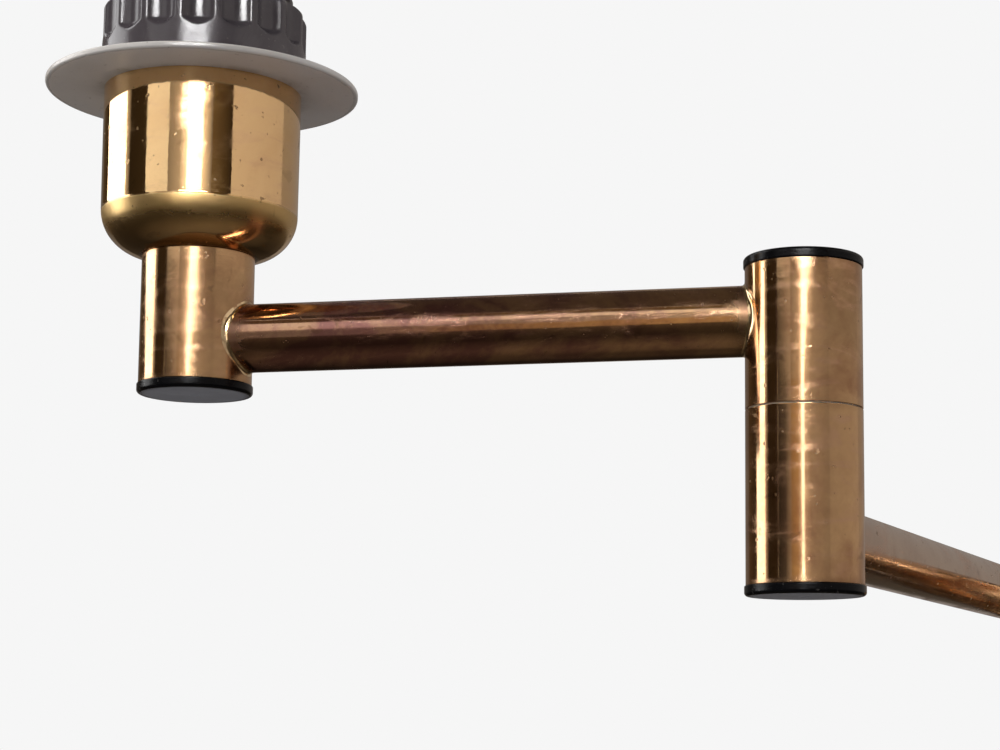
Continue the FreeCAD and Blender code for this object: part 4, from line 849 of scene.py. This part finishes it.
# %% Thread tree
wiring, entry, values, x, y, z, reach, around = ruled_tree("roll_thread", [
    "Axis X", "Axis Y", "Pitch", "Depth", "From height", "To height", "Run out", "Inner limit"])
risen = wiring.minus(z, values["From height"])
turns = wiring.minus(wiring.over(risen, values["Pitch"]), wiring.over(around, 2 * math.pi))
wave = wiring.math("COSINE", wiring.times(wiring.math("FRACT", turns), 2 * math.pi))
start = wiring.over(risen, values["Run out"], clamp=True)
end = wiring.over(wiring.minus(values["To height"], z), values["Run out"], clamp=True)
share = wiring.times(wiring.pile(0.5, (wave, -0.5)), wiring.times(start, end))
outside = wiring.math("GREATER_THAN", reach, values["Inner limit"])
sunk = wiring.times(wiring.times(share, values["Depth"]), outside)
thread_tree = close_tree(wiring, entry, x, y, reach, wiring.minus(reach, sunk))
print("thread tree has", len(thread_tree.nodes), "nodes")

# %% [markdown]
# The skirt carries a coarse moulded thread, 2.5 mm from crest to crest. Only what stands
# above the ring is seen, but the thread runs on below it. The screw shell inside is thin
# sheet, so its thread is rolled: both of its walls move together.

# %% Holder skirt and screw shell
skirt_low, skirt_high = low_and_high("holder_skirt")
SKIRT_RADIUS, SKIRT_BORE, LIP_BORE, LIP = 19.6, 17.55, 15.0, 3.0
SKIRT_PITCH, SKIRT_THREAD, SKIRT_RUN_OUT, THREAD_START, THREAD_END = 2.5, 0.95, 0.8, 22.5, 0.9
skirt_profile = rounded([
    (SKIRT_BORE, skirt_low, 0), (SKIRT_RADIUS, skirt_low, 0.2), (SKIRT_RADIUS, skirt_high, 0.8),
    (LIP_BORE, skirt_high, 0.5), (LIP_BORE, skirt_high - LIP, 0.2),
    (SKIRT_BORE, skirt_high - LIP, 0)], step=0.3, arc_steps=8)
skirt = turned("threaded_skirt", skirt_profile, 192, head_place)
ruled(skirt, thread_tree, phenolic, axis_x=axis.x, axis_y=axis.y, pitch=SKIRT_PITCH * MM,
      depth=SKIRT_THREAD * MM, from_height=(skirt_high - THREAD_START) * MM,
      to_height=(skirt_high - THREAD_END) * MM, run_out=SKIRT_RUN_OUT * MM,
      inner_limit=(SKIRT_RADIUS - 0.06) * MM)
dressed(skirt, "outer_arm", "holder_plastic", phenolic, "holder_skirt")

shell_low, shell_high = low_and_high("screw_shell")
SHELL_OUTSIDE, SHELL_INSIDE, SHELL_PITCH, SHELL_THREAD, SHELL_RUN_OUT = 13.7, 13.3, 3.6, 0.9, 0.5
shell_profile = rounded([
    (SHELL_INSIDE, shell_low, 0), (SHELL_OUTSIDE, shell_low, 0), (SHELL_OUTSIDE, shell_high, 0.12),
    (SHELL_INSIDE, shell_high, 0.12)], step=0.45, arc_steps=3)
shell = turned("rolled_shell", shell_profile, 144, head_place)

# %% [markdown]
# ## Other metals, ceramic and cable
# Behind the rose and inside the holder sit zinc plated steel, plated contact brass, a
# ceramic insert and plastic insulated wires. One recipe serves the metals and one the
# rest, each with its own tone, spots and grain.


# %% Metal and dull recipes
def plated(name, colour, tint, gloss, grain=500.0):
    """A worked or plated metal, with patches of tint and fine scuffs."""
    finish, wiring, shader, place = new_finish(name)
    patches = wiring.step(wiring.noise(place, 80.0, 4.0, 0.6, 0.6), 0.35, 0.7)
    scuffs = wiring.noise(wiring.mapped(place, scale=(3, 1, 1)), grain, 4.0, 0.7)
    surface(wiring, shader, wiring.blend(patches, (*colour, 1), (*tint, 1)),
            wiring.step(scuffs, 0.3, 0.75, gloss, gloss + 0.2), scuffs, 0.03, metal=1.0)
    return finish


def dull(name, colour, tint, rough, grain, depth=0.03, glaze=0.0):
    """A plain plastic or a ceramic, with patches of tint."""
    finish, wiring, shader, place = new_finish(name)
    patches = wiring.step(wiring.noise(place, 110.0, 4.0, 0.6, 0.4), 0.35, 0.7)
    worn = wiring.step(wiring.noise(place, 300.0), 0.3, 0.7, rough, rough + 0.15)
    surface(wiring, shader, wiring.blend(patches, (*colour, 1), (*tint, 1)), worn,
            wiring.noise(place, grain, 3.0), depth)
    shader.inputs["Coat Weight"].default_value = glaze
    return finish


finishes = {
    "polished_brass": rose_brass,
    "turned_brass": plated("turned_brass", (0.80, 0.60, 0.30), (0.66, 0.46, 0.22), 0.22),
    "contact_metal": plated("contact_brass", (0.86, 0.74, 0.50), (0.72, 0.60, 0.40), 0.2),
    "cap_black": cap_plastic,
    "disc_enamel": ivory,
    "holder_plastic": phenolic,
    "ceramic": dull("glazed_ceramic", (0.82, 0.80, 0.76), (0.76, 0.73, 0.68), 0.18, 300.0, 0.02,
                    glaze=0.5),
    "zinc_steel": plated("zinc_steel", (0.62, 0.63, 0.62), (0.66, 0.62, 0.52), 0.3),
    "nylon": dull("white_nylon", (0.74, 0.72, 0.66), (0.68, 0.65, 0.58), 0.45, 700.0),
    "block_plastic": dull("block_plastic", (0.70, 0.68, 0.62), (0.64, 0.61, 0.54), 0.4, 900.0),
    "switch_black": plastic("switch_plastic", (0.014, 0.014, 0.015), (0.04, 0.04, 0.042), 0.3,
                            1500.0),
    "switch_nut_metal": plated("nickel", (0.70, 0.68, 0.64), (0.62, 0.59, 0.53), 0.2),
    "cable_sheath": dull("white_sheath", (0.70, 0.69, 0.65), (0.62, 0.60, 0.55), 0.45, 1200.0),
    "core_brown": dull("brown_core", (0.16, 0.07, 0.03), (0.13, 0.055, 0.025), 0.35, 1200.0),
    "core_blue": dull("blue_core", (0.03, 0.10, 0.36), (0.025, 0.08, 0.29), 0.35, 1200.0),
}
ruled(shell, thread_tree, finishes["contact_metal"], axis_x=axis.x, axis_y=axis.y,
      pitch=SHELL_PITCH * MM, depth=SHELL_THREAD * MM, from_height=shell_low * MM,
      to_height=(shell_high + 0.2) * MM, run_out=SHELL_RUN_OUT * MM, inner_limit=0.0)
dressed(shell, "outer_arm", "contact_metal", finishes["contact_metal"], "screw_shell")

# %% [markdown]
# Every node of the model starts with the finish of its slot. Those that a finer piece
# replaces are hidden later.

# %% Finish the model's own nodes
for name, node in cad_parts.items():
    for holder in node.material_slots:
        slot_name = holder.material.name.split(".")[0]
        if slot_name in finishes:
            holder.material = finishes[slot_name]
        else:
            print("no finish for", name, slot_name)

# %% [markdown]
# ## Knuckles
# A knuckle is a piece of 25 mm tube with a turned plug in the end that meets the other
# knuckle. The tube is polished before the arm is brazed in, and the brazing heat tints
# the metal round the joint. Beside the seam, the cap and the saddle of the arm a painted
# shade darkens the metal and roughens it. The mesh has a row about every millimetre, to
# carry those marks.

# %% Knuckle
KNUCKLE_RADIUS, KNUCKLE_BORE, END_WALL, ARM_RADIUS, ARM_WALL = 12.5, 11.0, 3.0, 7.65, 1.0
FAR, SHADE_AT_SEAM, SHADE_AT_CAP, SHADE_AT_SADDLE = 99.0, 0.3, 0.35, 0.9
BLUSH_FROM, BLUSH_REACH = 1.0, 6.0


def knuckle(node, body, finish, end_on_top, arm_azimuth, arm_height):
    low, high = low_and_high(node)
    centre = middle(node)
    end, foot = (high, low) if end_on_top else (low, high)
    inward = -END_WALL if end_on_top else END_WALL
    profile = rounded([
        (KNUCKLE_BORE, foot, 0), (KNUCKLE_RADIUS, foot, 0.12), (KNUCKLE_RADIUS, end, 0.1),
        (NIPPLE_HOLE, end, 0), (NIPPLE_HOLE, end + inward, 0), (KNUCKLE_BORE, end + inward, 0)],
        step=1.1, arc_steps=5)
    way = toward(arm_azimuth, 0)

    def from_saddle(spot):
        """Distance on the wall from the edge of the arm."""
        out = Vector((spot.x - centre.x, spot.y - centre.y, 0))
        if out.dot(way) <= 0:
            return FAR
        across = KNUCKLE_RADIUS * math.asin(max(-1, min(1, out.cross(way).z / KNUCKLE_RADIUS)))
        return abs(math.hypot(across, spot.z - arm_height) - ARM_RADIUS)

    # Painted shade beside the seam, the cap and the saddle of the arm.
    def joint_shade(spot):
        at_seam = fading(abs(spot.z - end), SHADE_AT_SEAM)
        at_cap = fading(abs(spot.z - foot), SHADE_AT_CAP)
        at_saddle = fading(from_saddle(spot), SHADE_AT_SADDLE)
        return min(1.0, 0.75 * at_saddle + 0.2 * at_seam + 0.5 * at_cap)

    def heat(spot):
        return fading(from_saddle(spot) - BLUSH_FROM, BLUSH_REACH)

    marks = {"joint_shade": joint_shade, "heat": heat}
    piece = turned(node + "_tube", profile, 224, upright_at(node), marks)
    dressed(piece, body, "polished_brass", finish, node)


def azimuth_between(first, second):
    way = middle(second) - middle(first)
    return math.degrees(math.atan2(way.y, way.x))


to_elbow = azimuth_between("wall_lower_cap", "elbow_lower_cap")
to_head = azimuth_between("elbow_lower_cap", "head_cap")
inner_height = middle("inner_arm_tube").z
outer_height = middle("outer_arm_tube").z
stub_height = middle("stub_tube").z
knuckle("wall_lower_knuckle", "wall_mount", wall_brass, True, 90, stub_height)
knuckle("wall_upper_knuckle", "inner_arm", wall_brass, False, to_elbow, inner_height)
knuckle("elbow_lower_knuckle", "inner_arm", elbow_brass, True, to_elbow + 180, inner_height)
knuckle("elbow_upper_knuckle", "outer_arm", elbow_brass, False, to_head, outer_height)
knuckle("head_knuckle", "outer_arm", head_brass, True, to_head + 180, outer_height)
print("inner arm at azimuth %.2f, outer arm at %.2f" % (to_elbow, to_head))

# %% [markdown]
# ## Arms
# Each arm is plain 15.3 mm tube whose ends are cut to the round of the knuckles' bores.
# A cylinder with flat ends would leave a gap at the sides of the saddle, so every point
# of an end is moved along the tube until it meets the bore. The outer arm is the browner
# of the two, with pale gold only where the hand pushes it, near the elbow.


# %% Arm tube
ARM_SHADE_REACH, ARM_BLUSH_REACH, BROWN_FROM, BROWN_FULL = 1.2, 12.0, 0.25, 0.75


def arm(node, body, finish, start, azimuth, reach, start_bore, end_bore, film_growth=0.0):
    """Tube from an axis at start along an azimuth. A bore of 0 gives a flat end."""
    way, across = toward(azimuth, 0), toward(azimuth + 90, 0)
    sides, rows, bore_rows = 144, 60, 6
    builder = bmesh.new()

    def ring(radius, share):
        around = []
        for side in range(sides):
            angle = 2 * math.pi * side / sides
            aside, rise = radius * math.sin(angle), radius * math.cos(angle)
            first = math.sqrt(start_bore ** 2 - aside ** 2) if start_bore else 0.0
            last = reach - (math.sqrt(end_bore ** 2 - aside ** 2) if end_bore else 0.0)
            spot = start + way * (first + (last - first) * share) + across * aside
            around.append(builder.verts.new((spot + Vector((0, 0, rise))) * MM))
        return around

    outside = [ring(ARM_RADIUS, row / rows) for row in range(rows + 1)]
    inside = [ring(ARM_RADIUS - ARM_WALL, 1 - row / bore_rows) for row in range(bore_rows + 1)]
    skin(builder, outside + inside)

    def from_ends(spot):
        along = (spot - start).dot(way)
        from_start = along - KNUCKLE_RADIUS if start_bore else FAR
        from_end = reach - along - KNUCKLE_RADIUS if end_bore else FAR
        return min(from_start, from_end)

    # Painted shade close to the ends, where the arm enters a knuckle.
    def joint_shade(spot):
        return 0.7 * fading(from_ends(spot), ARM_SHADE_REACH)

    def heat(spot):
        return 0.8 * fading(from_ends(spot), ARM_BLUSH_REACH)

    def browned(spot):
        return film_growth * ramp((spot - start).dot(way) / reach, BROWN_FROM, BROWN_FULL)

    marks = {"joint_shade": joint_shade, "heat": heat, "browned": browned}
    piece = finished_mesh(node + "_drawn", builder, marks)
    dressed(piece, body, "polished_brass", finish, node)


ARM_BORE_MEETING = KNUCKLE_BORE + 0.1
wall_axis, elbow_axis, head_axis = (
    middle(node).to_2d() for node in ("wall_lower_cap", "elbow_lower_cap", "head_cap"))
outer_brass = brass("outer_arm_brass", (0.88, 0.57, 0.29), (0.36, 0.17, 0.145), 0.82, 0.08,
                    turn=to_head, stretch=(0.35, 1.6, 1.6), shift=(0.1, 0.5, 0.2))
inner_brass = brass("inner_arm_brass", (0.77, 0.57, 0.41), (0.55, 0.36, 0.25), 0.7, 0.1,
                    turn=to_elbow, stretch=(0.25, 1.2, 1.2), shift=(0.6, 0.2, 0.8))
arm("inner_arm_tube", "inner_arm", inner_brass, Vector((*wall_axis, inner_height)), to_elbow,
    (elbow_axis - wall_axis).length, ARM_BORE_MEETING, ARM_BORE_MEETING)
arm("outer_arm_tube", "outer_arm", outer_brass, Vector((*elbow_axis, outer_height)), to_head,
    (head_axis - elbow_axis).length, ARM_BORE_MEETING, ARM_BORE_MEETING, film_growth=0.35)
rose_depth = back_and_front("rose_cover")[1]
arm("stub_tube", "wall_mount", wall_brass, Vector((0, -rose_depth, stub_height)), -90,
    -rose_depth - wall_axis.y, 0, ARM_BORE_MEETING)

# %% [markdown]
# ## Brazed saddles
# Where an arm enters a knuckle, a small fillet of braze fills the corner. Its path is
# the curve in which two cylinders meet, so it is found point by point: one foot of the
# fillet lies on the arm, the other on the knuckle, and a sagging curve joins them. The
# width wanders a little, as it does by hand.

# %% Braze
braze, wiring, shader, place = new_finish("braze")
mottle = wiring.noise(place, 400.0, 4.0, 0.6, 0.4)
colour = wiring.blend(wiring.step(mottle, 0.5, 0.7), (0.93, 0.70, 0.42, 1), (0.45, 0.25, 0.13, 1))
surface(wiring, shader, colour, wiring.step(mottle, 0.3, 0.7, 0.08, 0.2), mottle, 0.03, metal=1.0)
BRAZE_WIDTH, SLOW_WANDER, QUICK_WANDER, BRAZE_LIFT, BRAZE_SUNK = 0.8, 0.14, 0.07, 0.01, 0.35


def saddle(name, body, axis, height, azimuth, wander):
    way, across = toward(azimuth, 0), toward(azimuth + 90, 0)
    centre = Vector((*axis, height))
    builder = bmesh.new()
    sides, steps = 144, 6
    loops = []

    def on_knuckle(radius, angle, lift):
        aside, rise = radius * math.sin(angle), radius * math.cos(angle)
        out = math.sqrt(KNUCKLE_RADIUS ** 2 - aside ** 2) + lift
        return way * out + across * aside + Vector((0, 0, rise))

    for side in range(sides):
        angle = 2 * math.pi * side / sides
        slow = SLOW_WANDER * math.sin(3 * angle + wander)
        width = BRAZE_WIDTH + slow + QUICK_WANDER * math.sin(7 * angle + 2 * wander)
        corner = on_knuckle(ARM_RADIUS, angle, 0.0)
        from_arm = (corner - way * corner.dot(way)).normalized()
        arm_foot = corner + way * width + from_arm * BRAZE_LIFT
        wall_foot = on_knuckle(ARM_RADIUS + width, angle, BRAZE_LIFT)
        loop = []
        for step in range(steps + 1):
            share = step / steps
            loop.append(arm_foot.lerp(corner, share).lerp(corner.lerp(wall_foot, share), share))
        loop.append(on_knuckle(ARM_RADIUS - BRAZE_SUNK, angle, -BRAZE_SUNK))
        loops.append([builder.verts.new((centre + spot) * MM) for spot in loop])
    skin(builder, loops)
    dressed(finished_mesh(name, builder, sharp=60), body, "polished_brass", braze)


saddle("stub_braze", "wall_mount", wall_axis, stub_height, 90, 0.3)
saddle("inner_wall_braze", "inner_arm", wall_axis, inner_height, to_elbow, 1.1)
saddle("inner_elbow_braze", "inner_arm", elbow_axis, inner_height, to_elbow + 180, 2.4)
saddle("outer_elbow_braze", "outer_arm", elbow_axis, outer_height, to_head, 3.3)
saddle("outer_head_braze", "outer_arm", head_axis, outer_height, to_head + 180, 4.6)

# %% [markdown]
# ## Plug caps
# A moulded cap closes the open end of every knuckle: a rounded rim that stands a little
# proud of the tube, a flat face with the mark of the gate in its middle, and a skirt
# inside. Turning it as one closed profile keeps the gloss of its rim in one line.


# %% Caps
GATE_DEPTH, GATE_FLOOR, GATE_EDGE = 0.18, 0.9, 1.2
UNDERSIDE_REFLECTION, TOP_REFLECTION = 1.0, 0.25


def cap(node, body):
    low, high = low_and_high(node)
    skirt_up = low_and_high(node.replace("cap", "knuckle"))[0] > low
    rim_radius, thick, skirt, skirt_wall = 12.8, 2.2, 10.9, 1.2
    face, seat, tip = (low, low + thick, high) if skirt_up else (high, high - thick, low)
    gate = face + GATE_DEPTH * (1 if skirt_up else -1)
    profile = rounded([
        (0, gate, 0), (GATE_FLOOR, gate, 0), (GATE_EDGE, face, 0.12),
        (rim_radius, face, 0.8), (rim_radius, seat, 0.25), (skirt, seat, 0), (skirt, tip, 0),
        (skirt - skirt_wall, tip, 0), (skirt - skirt_wall, seat, 0), (0, seat, 0)],
        step=1.2, arc_steps=10)
    centre = middle(node)

    # Painted reflection of the pale floor on the flat face: full on caps that face down, faint on
    # those that face up.
    def flat(spot):
        reflection_level = UNDERSIDE_REFLECTION if skirt_up else TOP_REFLECTION
        from_axis = (spot - centre).to_2d().length
        on_face = abs(spot.z - face) < ON_FACE
        return reflection_level * ramp(from_axis, rim_radius - 0.7, rim_radius - 1.2) if on_face else 0.0

    piece = turned(node + "_moulded", profile, 192, upright_at(node), {"flat": flat})
    dressed(piece, body, "cap_black", cap_plastic, node)


for node, body in (("wall_lower_cap", "wall_mount"), ("wall_upper_cap", "inner_arm"),
                   ("elbow_lower_cap", "inner_arm"), ("elbow_upper_cap", "outer_arm"),
                   ("head_cap", "outer_arm")):
    cap(node, body)

# %% [markdown]
# ## Rose and switch
# The rose is spun like the cup, with a rounded front edge. It is turned lying down, so
# its placement first tips local Z toward the room. The hole for the switch is off the
# middle, so it can't be turned: it is drilled afterwards, and the pressed button moves
# in it. The switch's ring nut is knurled by the same flute tree with many shallow cuts,
# and the button has a dished face.

# %% Rose
to_room = Matrix.Rotation(math.radians(90), 4, "X")
ROSE_RADIUS, ROSE_WALL, ROSE_ROUND, SWITCH_HOLE = 50.0, 1.2, 6.0, 6.2
rose_profile = rounded([
    (ROSE_RADIUS - ROSE_WALL, 0, 0), (ROSE_RADIUS, 0, 0.2), (ROSE_RADIUS, rose_depth, ROSE_ROUND),
    (NIPPLE_HOLE, rose_depth, 0), (NIPPLE_HOLE, rose_depth - ROSE_WALL, 0),
    (ROSE_RADIUS - ROSE_WALL, rose_depth - ROSE_WALL, ROSE_ROUND - ROSE_WALL)],
    step=2.5, arc_steps=18)


# Painted shade on the front of the rose, round the stub.
def rose_joint_shade(spot):
    from_stub = math.hypot(spot.x, spot.z) - ARM_RADIUS
    at_front = spot.y < -rose_depth + ON_FACE
    return 0.7 * fading(from_stub, 1.5) if at_front else 0.0


def drilled(piece, radius, tip, depth):
    """Drill a round hole into a piece, from its room side at tip and going toward the wall."""
    builder = bmesh.new()
    place = Matrix.Translation((tip + Vector((0, depth / 2, 0))) * MM) @ to_room
    bmesh.ops.create_cone(builder, cap_ends=True, segments=96, radius1=radius * MM,
                          radius2=radius * MM, depth=depth * MM, matrix=place)
    bit = finished_mesh("drill_bit", builder)
    modifier = piece.modifiers.new("hole", "BOOLEAN")
    modifier.operation = "DIFFERENCE"
    modifier.solver = "EXACT"
    modifier.object = bit
    applied(piece, modifier, SHARP_FROM)
    bpy.data.meshes.remove(bit.data)


switch_drop = middle("switch_ring_nut").z
rose = turned("rose_spun", rose_profile, 288, to_room, {"joint_shade": rose_joint_shade})
drilled(rose, SWITCH_HOLE, Vector((0, -rose_depth - 2, switch_drop)), 5.0)
print("rose has %d corners, %d faces" % (len(rose.data.vertices), len(rose.data.polygons)))
dressed(rose, "wall_mount", "polished_brass", rose_brass, "rose_cover")

# %% Switch nut
back, front = back_and_front("switch_ring_nut")
NUT_RADIUS, NUT_BORE, KNURLS, KNURL_RADIUS = 8.5, 6.03, 60, 0.32
nut_profile = rounded([
    (NUT_BORE, back, 0), (NUT_RADIUS, back, 0.3), (NUT_RADIUS, front, 0.5), (NUT_BORE, front, 0.2)],
    step=0.4, arc_steps=5)
nut = turned("knurled_nut", nut_profile, KNURLS * 8)
ruled(nut, flute_tree, finishes["switch_nut_metal"], axis_x=0, axis_y=0, flutes=KNURLS,
      first_flute=0, cutter_radius=KNURL_RADIUS * MM, cutter_distance=(NUT_RADIUS + 0.12) * MM,
      foot=0, edge_round=0.05 * MM, inner_limit=(NUT_BORE + 0.3) * MM)
nut.data.transform(Matrix.Translation((0, 0, switch_drop * MM)) @ to_room)
dressed(nut, "wall_mount", "switch_nut_metal", finishes["switch_nut_metal"], "switch_ring_nut")

# %% Button
back, front = back_and_front("switch_button")
BUTTON_RADIUS = 4.5
button_profile = rounded([
    (0, front - 0.45, 0), (2.4, front - 0.3, 2.0), (3.3, front, 0.5), (BUTTON_RADIUS, front, 1.0),
    (BUTTON_RADIUS, back, 0.1), (0, back, 0)], step=0.5, arc_steps=8)
button_place = Matrix.Translation((0, 0, switch_drop)) @ to_room
button = turned("dished_button", button_profile, 96, button_place)
dressed(button, "switch_button", "switch_black", finishes["switch_black"], "switch_button")
